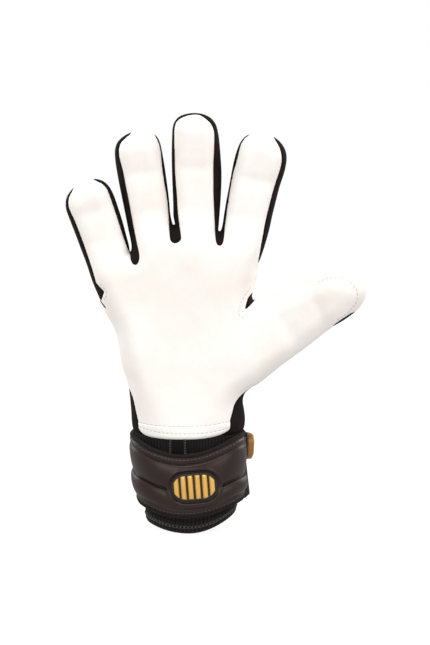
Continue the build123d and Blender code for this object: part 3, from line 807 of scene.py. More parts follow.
def surface_nets(low, counts, step):
    """A mesh of quads round the hand: one point in each grid cell that its surface crosses."""
    axes = [low[k] + step * np.arange(counts[k]) for k in range(3)]
    x, z = np.meshgrid(axes[0], axes[2], indexing="ij")
    middle, depth2 = sample(MIDDLE_Y, x, z), sample(DEPTH2, x, z)
    field = (axes[1][None, :, None] - middle[:, None, :]) ** 2 - depth2[:, None, :]
    inside = field < 0
    corners = [(a, b, c) for a in (0, 1) for b in (0, 1) for c in (0, 1)]
    filled = np.zeros(tuple(np.array(counts) - 1), np.int8)
    for a, b, c in corners:
        filled += inside[a : counts[0] - 1 + a, b : counts[1] - 1 + b, c : counts[2] - 1 + c]
    mixed = (filled > 0) & (filled < 8)
    ids = np.full(filled.shape, -1, np.int64)
    ids[mixed] = np.arange(mixed.sum())
    cells = np.argwhere(mixed)

    # a cell's point is the mean of where the surface crosses its edges
    total, crossings = np.zeros((len(cells), 3)), np.zeros(len(cells))
    for corner in corners:
        for k in range(3):
            if corner[k]:
                continue
            near = cells + np.array(corner)
            far = near + np.eye(3, dtype=int)[k]
            here, there = field[tuple(near.T)], field[tuple(far.T)]
            crossed = (here < 0) != (there < 0)
            point = np.tile(np.array(corner, float), (len(cells), 1))
            point[:, k] = np.where(crossed, here / np.where(crossed, here - there, 1), 0)
            total[crossed] += point[crossed]
            crossings[crossed] += 1
    verts = np.array(low) + step * (cells + total / crossings[:, None])

    # each grid edge that crosses the surface joins its four cells in a quad
    quads = []
    for k in range(3):
        a, b = [axis for axis in range(3) if axis != k]
        lower, upper = [slice(None)] * 3, [slice(None)] * 3
        lower[k], upper[k] = slice(0, counts[k] - 1), slice(1, counts[k])
        edges = np.argwhere(inside[tuple(lower)] != inside[tuple(upper)])
        edges = edges[(edges[:, a] > 0) & (edges[:, b] > 0)
                      & (edges[:, a] < counts[a] - 1) & (edges[:, b] < counts[b] - 1)]
        quad = []
        for back_a, back_b in ((-1, -1), (0, -1), (0, 0), (-1, 0)):
            cell = edges.copy()
            cell[:, a] += back_a
            cell[:, b] += back_b
            quad.append(ids[tuple(cell.T)])
        quad = np.stack(quad, 1)
        starts_in = inside[tuple(edges.T)]
        flip = starts_in if k == 1 else ~starts_in
        quad[flip] = quad[flip][:, ::-1]
        quads.append(quad)
    quads = np.concatenate(quads)
    return verts, quads[(quads >= 0).all(1)]


def relax(verts, quads):
    """Evens the mesh out along the surface; the open lower rim stays put."""
    for _ in range(4):
        total, count = np.zeros_like(verts), np.zeros(len(verts))
        for i, j in ((0, 1), (1, 2), (2, 3), (3, 0)):
            for here, there in ((i, j), (j, i)):
                np.add.at(total, quads[:, here], verts[quads[:, there]])
                np.add.at(count, quads[:, here], 1)
        moved = verts + 0.6 * (total / np.maximum(count, 1)[:, None] - verts)
        rim = verts[:, 2] < 43.5
        moved[rim] = verts[rim]
        verts = project(moved, 2)
    return project(verts, 3)


def split_quads(verts, quads):
    """Triangles from quads, cut along the shorter diagonal."""
    first = np.linalg.norm(verts[quads[:, 0]] - verts[quads[:, 2]], axis=1)
    second = np.linalg.norm(verts[quads[:, 1]] - verts[quads[:, 3]], axis=1)
    use_second = (first > second)[:, None]
    return np.concatenate([
        np.where(use_second, quads[:, [0, 1, 3]], quads[:, [0, 1, 2]]),
        np.where(use_second, quads[:, [1, 2, 3]], quads[:, [0, 2, 3]])])


def snap(verts, field):
    """Slides the points nearest a dividing line onto it, along the surface."""
    near = np.flatnonzero(np.abs(field(verts)) < 0.35)
    for _ in range(3):
        pts = verts[near]
        slope = gradient(field, pts, 0.1)
        normal = unit(gradient(level, pts, 0.1))
        slope -= normal * (slope * normal).sum(1)[:, None]
        step = (field(pts) / np.maximum((slope * slope).sum(1), 0.05))[:, None] * slope
        length = np.linalg.norm(step, axis=1, keepdims=True)
        verts[near] = project(pts - step * np.minimum(1, 0.4 / np.maximum(length, 1e-9)), 1)


class Surface:
    """Triangles of the hand, each with the piece and the finger segment it belongs to.

    Segment 0 is the hand; 2i + 1 and 2i + 2 are the lower and upper panels of finger i.
    """

    def __init__(self, verts, tris):
        self.verts, self.tris = verts, tris
        self.piece, self.segment = (np.zeros(len(tris), np.int64) for _ in range(2))

    def cut(self, field, chosen, piece=0, segment=0):
        """Cuts chosen triangles where field is 0, and adds to the labels where it is above."""
        field = np.where(np.abs(field) < 0.02, 0.0, field)
        above, below = (field[self.tris] > 0).any(1), (field[self.tris] < 0).any(1)
        labels = np.stack([self.piece, self.segment], 1)
        step = np.array([piece, segment])
        labels[chosen & above & ~below] += step
        crossed = np.flatnonzero(chosen & above & below)
        new_verts, new_tris, new_labels, cut_ids = [], [], [], {}

        def cut_point(a, b):
            key = (min(a, b), max(a, b))
            if key not in cut_ids:
                share = field[a] / (field[a] - field[b])
                cut_ids[key] = len(self.verts) + len(new_verts)
                new_verts.append(lerp(self.verts[a], self.verts[b], share))
            return cut_ids[key]

        for i in crossed:
            a, b, c = (int(k) for k in self.tris[i])
            ring = []
            for here, there in ((a, b), (b, c), (c, a)):
                ring.append((here, np.sign(field[here])))
                if field[here] * field[there] < 0:
                    ring.append((cut_point(here, there), 0))
            for side in (1, -1):
                poly = [vert for vert, sign in ring if sign in (side, 0)]
                for k in range(1, len(poly) - 1):
                    new_tris.append((poly[0], poly[k], poly[k + 1]))
                    new_labels.append(labels[i] + (step if side > 0 else 0))
        if new_verts:
            keep = np.ones(len(self.tris), bool)
            keep[crossed] = False
            self.verts = np.concatenate([self.verts, np.array(new_verts)])
            self.tris = np.concatenate([self.tris[keep], np.array(new_tris, np.int64)])
            labels = np.concatenate([labels[keep], np.array(new_labels, np.int64)])
        self.piece, self.segment = labels[:, 0].copy(), labels[:, 1].copy()


def cut_pieces(hand):
    for field in (into_latex, into_back):
        snap(hand.verts, field)
    hand.cut(into_latex(hand.verts), hand.piece == GUSSET, piece=LATEX)
    hand.cut(into_back(hand.verts), hand.piece == GUSSET, piece=BACK)
    hand.cut(into_sleeve(hand.verts), hand.piece != LATEX, piece=CUT_OFF)
    hand.piece[hand.piece >= CUT_OFF] = SLEEVE
    hand.cut(into_pad(hand.verts), hand.piece == BACK, piece=PAD - BACK)
    hand.cut(into_tab(hand.verts), hand.piece == BACK, piece=TAB - BACK)


def cut_fingers(hand):
    for i, finger in enumerate(FINGERS):
        x, _, z = hand.verts.T
        centre_x, _, centre_z = hand.verts[hand.tris].mean(1).T
        mine = finger_of(centre_x, centre_z) == i
        if finger is THUMB:
            field = finger.lower(x, z)[0] + THUMB_ROOT
            seam_dir = finger.lower_dir
        else:
            field = z - finger.root_z
            mine &= centre_z > finger.root_z - 3
            seam_dir = unit(finger.lower_dir + np.array([0.0, 1.0]))
        if finger is PINKY:
            mine &= centre_x < -39.0
        hand.cut(field, mine, segment=2 * i + 1)
        seam = finger.base + finger.lower_dir * finger.cut
        field = (hand.verts[:, [0, 2]] - seam) @ seam_dir
        hand.cut(field, hand.segment == 2 * i + 1, segment=1)


def curl(pts):
    """Bends straight fingers into the resting pose, about the lines the joints turn on."""
    pts = np.array(pts, float)
    out = pts.copy()
    x, _, z = pts.T
    who = finger_of(x, z)
    for i, finger in enumerate(FINGERS):
        mine = who == i
        if not mine.any():
            continue
        if finger is THUMB:
            low = ease((finger.lower(x, z)[0] + THUMB_ROOT) / 20.4)
        else:
            low = ease((z - finger.root_z) / (2 * (finger.base[1] - finger.root_z) + 2))
        high = ease((finger.upper(x, z)[0] + 9) / 18)
        middle = np.array([finger.mid_flat[0], finger.base_joint[1], finger.mid_flat[1]])
        low_axis, high_axis = (
            (along[1], 0, -along[0]) for along in (finger.lower_dir, finger.upper_dir))
        bent = rotate(out[mine], middle, high_axis, high[mine] * finger.upper_curl)
        out[mine] = rotate(bent, finger.base_joint, low_axis, low[mine] * finger.lower_curl)
    return out


def normals_of(pts, tris):
    normals = np.zeros_like(pts)
    a, b, c = (pts[tris[:, k]] for k in range(3))
    for k in range(3):
        np.add.at(normals, tris[:, k], np.cross(b - a, c - a))
    return unit(normals)


net_verts, net_quads = surface_nets(low=(-95.0, -27.0, 41.0), counts=(205, 50, 234), step=1.1)
net_verts = relax(net_verts, net_quads)
HAND = Surface(net_verts, split_quads(net_verts, net_quads))
cut_pieces(HAND)
cut_fingers(HAND)

REST = curl(HAND.verts)
OUTWARD = normals_of(REST, HAND.tris)
if (OUTWARD[:, 1] * (HAND.verts[:, 1] + 2)).mean() < 0:  # the triangles face inward
    HAND.tris = HAND.tris[:, ::-1]
    OUTWARD = -OUTWARD

# ==========================================================================================
# Relief of the padded panels
# ==========================================================================================
# mounds and hollows of the palm: x, z, half width, half height, amount out, turn in radians
PALM_MOUNDS = [
    (38, 122, 20, 24, 2.6, -0.6), (-26, 112, 15, 26, 2.0, 0.0), (2, 150, 26, 22, -1.8, 0.0),
    (-52, 176, 12, 11, 0.9, 0.0), (-24, 186, 12, 11, 0.9, 0.0), (8, 186, 12, 11, 0.9, 0.0),
    (38, 186, 12, 11, 0.9, 0.0)]


def palm_relief(x, z):
    out = 0.0
    for mound_x, mound_z, width, height, amount, turn in PALM_MOUNDS:
        cos, sin = math.cos(turn), math.sin(turn)
        wide = (x - mound_x) * cos + (z - mound_z) * sin
        high = -(x - mound_x) * sin + (z - mound_z) * cos
        out = out + amount * np.exp(-((wide / width) ** 2) - (high / height) ** 2)
    for finger in FINGERS:  # a crease at each bend line
        for (along, across), width, depth in (
                (finger.lower(x, z), 4.4, 0.4), (finger.upper(x, z), 4.0, 0.45)):
            out -= depth * np.exp(-((along / width) ** 2)) * ease((24 - np.abs(across)) / 8)
    return out


def latex_offset(pts):
    inset = into_latex(pts)
    deep = ease((around(pts) - 5) / 12) * ease(inset / 8)
    return dome(inset, 2.6, -0.35, 0.45) + palm_relief(pts[:, 0], pts[:, 2]) * deep


def back_offset(pts):
    """Rounded edges, and a flex channel across the back of each finger at each bend line."""
    _, low, up, _, _ = finger_coords(pts)
    channels = -0.55 * (np.exp(-((low / 1.5) ** 2)) + np.exp(-((up / 1.5) ** 2)))
    edge = dome(np.minimum(into_back(pts), -into_sleeve(pts)), 2.6, -0.6, 0.5)
    return edge + channels * ease((-around(pts) - BACK_EDGE - 1.2) / 3)


def gusset_offset(pts):
    inset = np.minimum(np.minimum(-into_latex(pts), -into_back(pts)), -into_sleeve(pts))
    return dome(inset, 2.4, -1.0, 0.1)


def pad_relief(pts):
    """Chevron ribs on the knuckle pad, and lengthwise ribs on the finger pads."""
    x, _, z = pts.T
    across = finger_coords(pts)[3]
    inset = sample(PAD_INSET, x, z)
    chevron = 0.5 + 0.5 * np.cos(2 * math.pi * (z + 0.55 * np.abs(x - 1.0)) / 9.5)
    rib = 0.5 + 0.5 * np.cos(2 * math.pi * across / 5.6)
    return np.where(
        inset > 0,
        0.95 * ease((chevron - 0.12) / 0.35) * ease((inset - 2.2) / 1.6),
        0.55 * ease((rib - 0.15) / 0.4) * ease((into_pad(pts) - 1.0) / 1.2))


# ==========================================================================================
# Materials
# ==========================================================================================
def srgb(*channels):
    linear = []
    for channel in channels:
        c = channel / 255
        linear.append(c / 12.92 if c <= 0.04045 else ((c + 0.055) / 1.055) ** 2.4)
    return tuple(linear) + (1.0,)


def dimmed(colour, factor):
    return tuple(channel * factor for channel in colour[:3]) + (1.0,)


class Shader:
    """Wires the nodes of one material round a Principled BSDF."""

    def __init__(self, name):
        self.material = bpy.data.materials.new(name)
        self.material.use_nodes = True
        self.tree = self.material.node_tree
        self.tree.nodes.clear()
        self.output = self.node("ShaderNodeOutputMaterial")
        self.bsdf = self.node("ShaderNodeBsdfPrincipled")
        self.feed(self.output.inputs[0], self.bsdf.outputs[0])

    def node(self, kind, **props):
        node = self.tree.nodes.new(kind)
        for key, value in props.items():
            setattr(node, key, value)
        return node

    def feed(self, socket, value):
        """Links a socket to another node's output, or sets it to a plain value."""
        if isinstance(value, bpy.types.NodeSocket):
            self.tree.links.new(value, socket)
        else:
            socket.default_value = value

    def settings(self, **values):
        for key, value in values.items():
            self.bsdf.inputs[key.replace("_", " ")].default_value = value

    def finish(self, colour, roughness, normal, **settings):
        self.feed(self.bsdf.inputs["Base Color"], colour)
        self.feed(self.bsdf.inputs["Roughness"], roughness)
        self.feed(self.bsdf.inputs["Normal"], normal)
        self.settings(**settings)
        return self.material

    def place(self):
        return self.node("ShaderNodeAttribute", attribute_name="rest_mm").outputs["Vector"]

    def noise(self, vector, scale, detail=3.0, rough=0.5):
        node = self.node("ShaderNodeTexNoise")
        for key, value in (("Scale", scale), ("Detail", detail), ("Roughness", rough),
                           ("Vector", vector)):
            self.feed(node.inputs[key], value)
        return node.outputs["Fac"]

    def voronoi(self, vector, scale, randomness=1.0, feature="F1"):
        node = self.node("ShaderNodeTexVoronoi", feature=feature)
        for key, value in (("Scale", scale), ("Randomness", randomness), ("Vector", vector)):
            self.feed(node.inputs[key], value)
        return node.outputs["Distance"]

    def math(self, operation, *values):
        node = self.node("ShaderNodeMath", operation=operation)
        for i, value in enumerate(values):
            self.feed(node.inputs[i], value)
        return node.outputs[0]

    def times(self, value, factor):
        return self.math("MULTIPLY", value, factor)

    def plus(self, first, second):
        return self.math("ADD", first, second)

    def mix(self, share, first, second):
        node = self.node("ShaderNodeMix", data_type="RGBA", blend_type="MIX")
        for i, value in ((0, share), (6, first), (7, second)):
            self.feed(node.inputs[i], value)
        return node.outputs[2]

    def remap(self, value, span, to=(0.0, 1.0)):
        node = self.node("ShaderNodeMapRange")
        for i, number in enumerate((value, *span, *to)):
            self.feed(node.inputs[i], number)
        return node.outputs[0]

    def separate(self, vector):
        node = self.node("ShaderNodeSeparateXYZ")
        self.feed(node.inputs[0], vector)
        return node.outputs

    def bump(self, height, strength, depth_mm, under=None):
        node = self.node("ShaderNodeBump")
        node.inputs["Strength"].default_value = strength
        node.inputs["Distance"].default_value = depth_mm * MM
        self.feed(node.inputs["Height"], height)
        if under is not None:
            self.feed(node.inputs["Normal"], under)
        return node.outputs[0]


def make_latex(name, base, shade):
    """Smooth latex foam: fine open pores and very faint mottling. The pores are painted darker, a painted shade where
    the grain bump sinks.
    """
    mat = Shader(name)
    place = mat.place()
    fine = mat.noise(place, scale=0.35, detail=4, rough=0.6)
    pores = mat.voronoi(place, scale=1.1)
    mottling = mat.remap(mat.noise(place, scale=0.035), span=(0.35, 0.7))
    colour = mat.mix(mottling, base, shade)
    colour = mat.mix(mat.times(mat.remap(fine, span=(0.45, 0.8)), factor=0.35), colour, shade)
    # The pores are painted darker: painted shade in the low spots of the grain bump.
    pore_painted_shade = mat.remap(pores, span=(0.0, 0.28), to=(1.0, 0.0))
    colour = mat.mix(mat.times(pore_painted_shade, factor=0.25), colour, dimmed(shade, factor=0.93))
    grain = mat.plus(
        mat.times(mat.noise(place, scale=1.6, detail=4, rough=0.65), factor=0.6),
        mat.times(mat.remap(pores, span=(0.0, 0.4)), factor=0.4))
    soft = mat.bump(mat.noise(place, scale=0.16, detail=2), strength=0.25, depth_mm=0.6)
    return mat.finish(
        colour, mat.remap(fine, span=(0.3, 0.7), to=(0.62, 0.78)),
        mat.bump(grain, strength=0.35, depth_mm=0.12, under=soft),
        Subsurface_Weight=0.12, Subsurface_Radius=(1.0, 0.75, 0.6), Subsurface_Scale=0.0012,
        Specular_IOR_Level=0.35, Sheen_Weight=0.15, Sheen_Roughness=0.6)


def make_knit(name, dark, light, pitch, sheen):
    """Stretch mesh: rows of small round openings between soft yarns.
    The openings are painted darker, a painted shade, and the yarns' crests lighter, partly loose
    fibres and partly a painted sheen.
    """
    mat = Shader(name)
    place = mat.place()
    yarn = mat.remap(mat.voronoi(place, scale=pitch, randomness=0.22), span=(0.18, 0.5))
    fibre = mat.noise(place, scale=6.0, rough=0.7)
    # The openings, low in the bump, are painted darker: painted shade.
    colour = mat.mix(yarn, dimmed(dark, factor=0.35), dark)
    # Lighter where fibres stand on the yarns' crests: partly loose fibres, partly a painted sheen.
    fuzz_and_painted_sheen = mat.times(mat.remap(fibre, span=(0.5, 0.85)), mat.times(yarn, factor=0.6))
    colour = mat.mix(fuzz_and_painted_sheen, colour, light)
    tone = mat.noise(place, scale=0.06)
    colour = mat.mix(mat.remap(tone, span=(0.3, 0.75), to=(0, 0.35)), colour, light)
    height = mat.plus(yarn, mat.times(fibre, factor=0.25))
    return mat.finish(
        colour, mat.remap(fibre, span=(0.3, 0.8), to=(0.72, 0.95)),
        mat.bump(height, strength=0.55, depth_mm=0.22),
        Sheen_Weight=sheen, Sheen_Roughness=0.45, Sheen_Tint=light, Specular_IOR_Level=0.1)


def make_leather(name, base, light):
    """Coated leather: small pebbled grain with fine creases, unevenly lighter."""
    mat = Shader(name)
    place = mat.place()
    cells = mat.voronoi(place, scale=1.35, randomness=0.95, feature="SMOOTH_F1")
    crease = mat.voronoi(place, scale=0.55, feature="DISTANCE_TO_EDGE")
    fine = mat.noise(place, scale=3.2, detail=4, rough=0.6)
    cloud = mat.noise(place, scale=0.05, rough=0.55)
    colour = mat.mix(mat.remap(cloud, span=(0.3, 0.75), to=(0.0, 0.55)), base, light)
    colour = mat.mix(mat.times(mat.remap(fine, span=(0.45, 0.8)), factor=0.3), colour, light)
    height = mat.plus(
        mat.times(mat.remap(cells, span=(0.0, 0.6), to=(1.0, 0.0)), factor=0.7),
        mat.times(mat.remap(crease, span=(0.0, 0.12)), factor=0.35))
    height = mat.plus(height, mat.times(fine, factor=0.2))
    roughness = mat.plus(
        mat.remap(cloud, span=(0.3, 0.7), to=(0.27, 0.36)), mat.times(fine, factor=0.08))
    return mat.finish(colour, roughness, mat.bump(height, strength=0.28, depth_mm=0.10),
                      Specular_IOR_Level=0.36)


def make_weave(name, dark, light, per_mm):
    """Woven tape: a small over-and-under rib. Its colour follows the rib's bump: the sunk threads
    painted darker, a painted shade, and the raised ones lighter.
    """
    mat = Shader(name)
    stretch = mat.node("ShaderNodeVectorMath", operation="MULTIPLY")
    stretch.inputs[1].default_value = (1.0, 1.0, 1.0)  # stretches the weave along each axis
    mat.feed(stretch.inputs[0], mat.place())
    x, y, z = mat.separate(stretch.outputs[0])
    turn = 2 * math.pi * per_mm
    over = mat.math("SINE", mat.times(mat.plus(x, z), turn))
    under = mat.math("SINE", mat.times(mat.math("SUBTRACT", mat.plus(z, y), x), turn))
    weave = mat.remap(mat.times(over, under), span=(-1.0, 1.0))
    fibre = mat.noise(mat.place(), scale=5.0, rough=0.7)
    # Colour follows the weave's bump: sunk threads painted darker, a painted shade; raised ones lighter.
    colour = mat.mix(weave, dark, light)
    colour = mat.mix(mat.remap(fibre, span=(0.4, 0.8), to=(0, 0.4)), colour, light)
    height = mat.plus(weave, mat.times(fibre, factor=0.3))
    return mat.finish(
        colour, mat.remap(fibre, span=(0.3, 0.8), to=(0.66, 0.9)),
        mat.bump(height, strength=0.5, depth_mm=0.18),
        Sheen_Weight=0.04, Sheen_Roughness=0.5, Specular_IOR_Level=0.12)


def make_rib(name, dark, light):
    """Elastic ribbed knit: upright ribs of small loops, on UVs in millimetres (round, up).
    Its colour follows the bump's height: raised ribs and loops painted lighter and the hollows
    between them darker, a painted shade.
    """
    ribs_per_mm, loops_per_mm = 0.42, 0.8
    mat = Shader(name)
    uv_map = mat.node("ShaderNodeUVMap", uv_map="UVMap")
    round_mm, up_mm, _ = mat.separate(uv_map.outputs["UV"])
    rib = mat.math("SINE", mat.times(round_mm, 2 * math.pi * ribs_per_mm))
    loop = mat.math("SINE", mat.plus(
        mat.times(up_mm, 2 * math.pi * loops_per_mm),
        mat.times(mat.math("ABSOLUTE", rib), factor=1.6)))
    height = mat.plus(
        mat.remap(rib, span=(-1, 1)), mat.times(mat.remap(loop, span=(-1, 1)), factor=0.45))
    place = mat.place()
    fibre = mat.noise(place, scale=5.0, detail=4, rough=0.7)
    height = mat.plus(height, mat.times(fibre, factor=0.35))
    # Colour from the height: raised ribs and loops painted lighter, the hollows darker, a painted shade.
    colour = mat.mix(mat.remap(height, span=(0.3, 1.5)), dark, light)
    cloud = mat.noise(place, scale=0.08)
    colour = mat.mix(mat.remap(cloud, span=(0.3, 0.75), to=(0, 0.35)), colour, light)
    return mat.finish(
        colour, mat.remap(fibre, span=(0.3, 0.8), to=(0.78, 0.97)),
        mat.bump(height, strength=0.6, depth_mm=0.3),
        Sheen_Weight=0.06, Sheen_Roughness=0.5, Specular_IOR_Level=0.1)


def make_rubber(name, base, light, dark, metallic, rough):
    """Moulded satin rubber with faint flow marks, and convex edges painted lighter, a painted edge highlight."""
    mat = Shader(name)
    place = mat.place()
    cloud = mat.noise(place, scale=0.12)
    fine = mat.noise(place, scale=4.0, rough=0.6)
    pointed = mat.node("ShaderNodeNewGeometry").outputs["Pointiness"]
    colour = mat.mix(mat.remap(cloud, span=(0.3, 0.72)), base, dark)
    colour = mat.mix(mat.times(mat.remap(fine, span=(0.45, 0.8)), factor=0.25), colour, light)
    # Sharp convex edges are painted lighter: a painted edge highlight.
    colour = mat.mix(mat.remap(pointed, span=(0.51, 0.60), to=(0.0, 0.55)), colour, light)
    roughness = mat.plus(
        mat.remap(cloud, span=(0.3, 0.7), to=(rough, rough + 0.12)),
        mat.times(fine, factor=0.06))
    height = mat.plus(fine, mat.times(cloud, factor=0.5))
    return mat.finish(
        colour, roughness, mat.bump(height, strength=0.18, depth_mm=0.08),
        Metallic=metallic, Specular_IOR_Level=0.5, Coat_Weight=0.15, Coat_Roughness=0.3)


def make_thread(name, base, light):
    mat = Shader(name)
    twist = mat.noise(mat.place(), scale=7.0, detail=2, rough=0.6)
    # Colour follows the twist's bump: the plies' crests painted lighter, the grooves darker, a painted shade.
    return mat.finish(
        mat.mix(mat.remap(twist, span=(0.35, 0.7)), base, light),
        mat.remap(twist, span=(0.3, 0.7), to=(0.55, 0.8)),
        mat.bump(twist, strength=0.4, depth_mm=0.08), Sheen_Weight=0.2)


WHITE_LATEX = make_latex(
    "latex_foam_white", base=srgb(248, 243, 239), shade=srgb(243, 234, 227))
# The hem band is the palm's white latex painted brighter, to make up for the lower light it gets facing down: painted
# light.
HEM_LATEX_PAINTED_LIGHT = make_latex("hem_foam_white", base=srgb(253, 249, 245), shade=srgb(250, 244, 238))
MESH_BLACK = make_knit(
    "stretch_mesh_black", dark=srgb(20, 13, 12), light=srgb(47, 36, 34), pitch=0.95, sheen=0.03)
BACK_KNIT = make_knit(
    "back_panel_black", dark=srgb(20, 16, 16), light=srgb(46, 40, 39), pitch=1.25, sheen=0.04)
LEATHER = make_leather("strap_leather_dark", base=srgb(34, 18, 13), light=srgb(46, 27, 20))
LINING = make_knit(
    "strap_lining_fabric", dark=srgb(20, 17, 18), light=srgb(44, 40, 40), pitch=1.1, sheen=0.05)
BINDING = make_weave(
    "edge_binding_black", dark=srgb(15, 11, 11), light=srgb(34, 27, 26), per_mm=0.55)
TAPE = make_weave("woven_tape_black", dark=srgb(7, 5, 6), light=srgb(18, 16, 17), per_mm=0.5)
RIB = make_rib("cuff_rib_black", dark=srgb(12, 9, 10), light=srgb(40, 35, 36))
GOLD = make_rubber(
    "gold_rubber_satin", base=srgb(236, 186, 90), light=srgb(246, 206, 122),
    dark=srgb(224, 174, 82), metallic=0.3, rough=0.3)
AMBER = make_rubber(
    "amber_rubber_moulded", base=srgb(160, 98, 22), light=srgb(212, 156, 76),
    dark=srgb(116, 70, 14), metallic=0.2, rough=0.3)
BLACK_RUBBER = make_rubber(
    "black_rubber_moulded", base=srgb(15, 13, 13), light=srgb(40, 35, 34),
    dark=srgb(10, 8, 8), metallic=0.0, rough=0.42)
PAD_RUBBER = make_rubber(
    "pad_rubber_embossed", base=srgb(30, 26, 26), light=srgb(62, 56, 54),
    dark=srgb(20, 17, 17), metallic=0.0, rough=0.5)
# charcoal, white (a spare, on no piece) and warm grey
THREAD_DARK, _, THREAD_GREY = (make_thread(name, base, light) for name, base, light in (
    ("thread_charcoal", srgb(58, 51, 49), srgb(104, 96, 92)),
    ("thread_white", srgb(232, 226, 218), srgb(250, 247, 242)),
    ("thread_warm_grey", srgb(170, 158, 150), srgb(206, 196, 190))))
LOOP_PILE = make_knit(
    "loop_tape_pile", dark=srgb(24, 22, 23), light=srgb(70, 66, 66), pitch=1.9, sheen=0.6)


# ==========================================================================================
# Panels of the hand
# ==========================================================================================
def panel(name, tris, pts, shade, thick, material, uv=None):
    """A closed sheet over some of the hand's triangles: outer face, inner face and edge."""
    used, local = np.unique(tris, return_inverse=True)
    local = local.reshape(tris.shape)
    outer = pts[used]
    inner = outer - OUTWARD[used] * thick
    count = len(used)
    edges = np.concatenate([local[:, [0, 1]], local[:, [1, 2]], local[:, [2, 0]]])
    key = np.sort(edges, 1)
    order = np.lexsort((key[:, 1], key[:, 0]))
    same = (key[order][1:] == key[order][:-1]).all(1)
    single = np.ones(len(key), bool)
    single[1:][same] = False
    single[:-1][same] = False
    rim = edges[order[single]]
    faces = [tuple(tri) for tri in local] + [tuple(tri + count) for tri in local[:, ::-1]]
    faces += [(b, a, a + count, b + count) for a, b in rim]
    loops = [shade[used][local.ravel()], -shade[used][local[:, ::-1].ravel()]]
    if len(rim):
        start, end = outer[rim[:, 1]], outer[rim[:, 0]]
        loops.append(np.repeat(unit(np.cross(end - start, inner[rim[:, 0]] - end)), 4, axis=0))
    rest = HAND.verts[used]
    return new_object(
        name, np.concatenate([outer, inner]), faces, material,
        loop_normals=np.concatenate(loops), rest=np.concatenate([rest, rest]),
        uv=None if uv is None else np.concatenate([uv[used], uv[used]]))


def ride_segment(obj, segment):
    """Ties a piece to the hand, or to the bend that its finger segment follows."""
    if segment == 0:
        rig.ride(obj, "hand")
        return
    finger = FINGERS[(segment - 1) // 2]
    lower = f"{finger.name}_lower"
    if segment % 2 == 1:
        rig.blend(obj, "hand", lower, **finger.lower_blend())
    else:
        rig.blend(obj, lower, f"{finger.name}_upper", **finger.upper_blend())


def build_panels(key, pieces, offset, thick, material, slot, hand_name, hand_cad,
                 finger_cad=True):
    """One panel for the hand and two for each finger, wherever the pieces reach."""
    mine = np.isin(HAND.piece, pieces)
    pts = REST + OUTWARD * offset[:, None]
    shade = normals_of(pts, HAND.tris[mine])
    for segment in range(2 * len(FINGERS) + 1):
        tris = HAND.tris[mine & (HAND.segment == segment)]
        if len(tris) == 0:
            continue
        cad = hand_cad
        name = hand_name
        if segment:
            finger = FINGERS[(segment - 1) // 2].name
            lower = segment % 2 == 1
            name = f"{finger}_{key}_{'knuckle' if lower else 'tip'}"
            cad = [f"{finger}_{key}_{'lower' if lower else 'upper'}"] if finger_cad else []
        obj = panel(name, tris, pts, shade, thick, material)
        ride_segment(obj, segment)
        if cad:
            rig.replaces(obj, *cad)
        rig.slot(obj, slot)


back_off = back_offset(HAND.verts)
build_panels(
    "latex", [LATEX], latex_offset(HAND.verts), 3.2, WHITE_LATEX, "latex_foam",
    "hand_latex", ["palm_latex", "palm_foam_lining"])
build_panels(
    "gusset", [GUSSET], gusset_offset(HAND.verts), 1.2, MESH_BLACK, "stretch_mesh",
    "hand_gusset",
    ["ulnar_side_gusset", "radial_side_gusset", "finger_web_gussets", "thumb_web_gusset"])
build_panels(
    "back", [BACK, PAD, TAB], back_off, 2.6, BACK_KNIT, "back_panel",
    "hand_back", ["backhand_panel", "backhand_lining"])
build_panels(
    "pad", [PAD],
    back_off + dome(into_pad(HAND.verts), 1.5, 0.1, 1.0) + pad_relief(HAND.verts),
    1.6, PAD_RUBBER, "embossed_pad", "knuckle_pad_embossed", ["backhand_punch_pad"],
    finger_cad=False)
build_panels(
    "tab", [TAB], back_off + dome(into_tab(HAND.verts), 0.9, 0.1, 0.8),
    1.2, GOLD, "gold_rubber", "hand_tab", [], finger_cad=False)


def build_sleeve():
    """The knitted sleeve below the palm and back, down to where the strap hides it."""
    x, y, z = HAND.verts.T
    pts = REST + OUTWARD * dome(into_sleeve(HAND.verts), 2.0, -1.2, -0.4)[:, None]
    tris = HAND.tris[HAND.piece == SLEEVE]
    uv = np.stack([np.arctan2(y, x) * 30, z], 1)
    obj = panel("cuff_sleeve_upper", tris, pts, normals_of(pts, tris), 1.2, RIB, uv=uv)
    register(obj, "elastic_knit")


build_sleeve()

# ==========================================================================================
# Strap, on a tapered oval
#
# Angles round the wrist are 0 on the thumb side and -90 degrees in front. Heights on the
# strap are shares from its lower edge, 0, to its upper edge, 1.
# ==========================================================================================
STRAP_HALF_X, STRAP_HALF_Y = 41.0, 30.0
STRAP_MEAN_RADIUS = 37  # turns lengths round the strap into angles

PLATE_WIDTH, PLATE_HEIGHT = 31.0, 20.0
SEAT_MARGIN = 2.4  # how much wider and higher the badge's seat is than its plate
BADGE_X, BADGE_Z, BADGE_TILT = 4.8, 33.4, math.radians(4.0)

TAB_END = -math.acos(0.9995)  # the free end, just in front of the thumb side
FOLD_START, FOLD_END = -math.acos(25.0 / 39.5), -math.acos(34.0 / 39.5)
BEND_HALF = math.asin(8.0 / 29.0)
BEND_START, BEND_END = -math.pi - BEND_HALF, -math.pi + BEND_HALF
ANCHOR_END = -2 * math.pi + math.asin(0.9 / 29.0)


def strap_axes(z):
    """Centre x and half widths of the strap's oval at a height."""
    drop = 66.0 - z
    flare = 0.8 * np.clip((36 - z) / 14, 0, 1)
    return 0.05 * drop, STRAP_HALF_X - 0.10 * drop + flare, STRAP_HALF_Y - 0.06 * drop


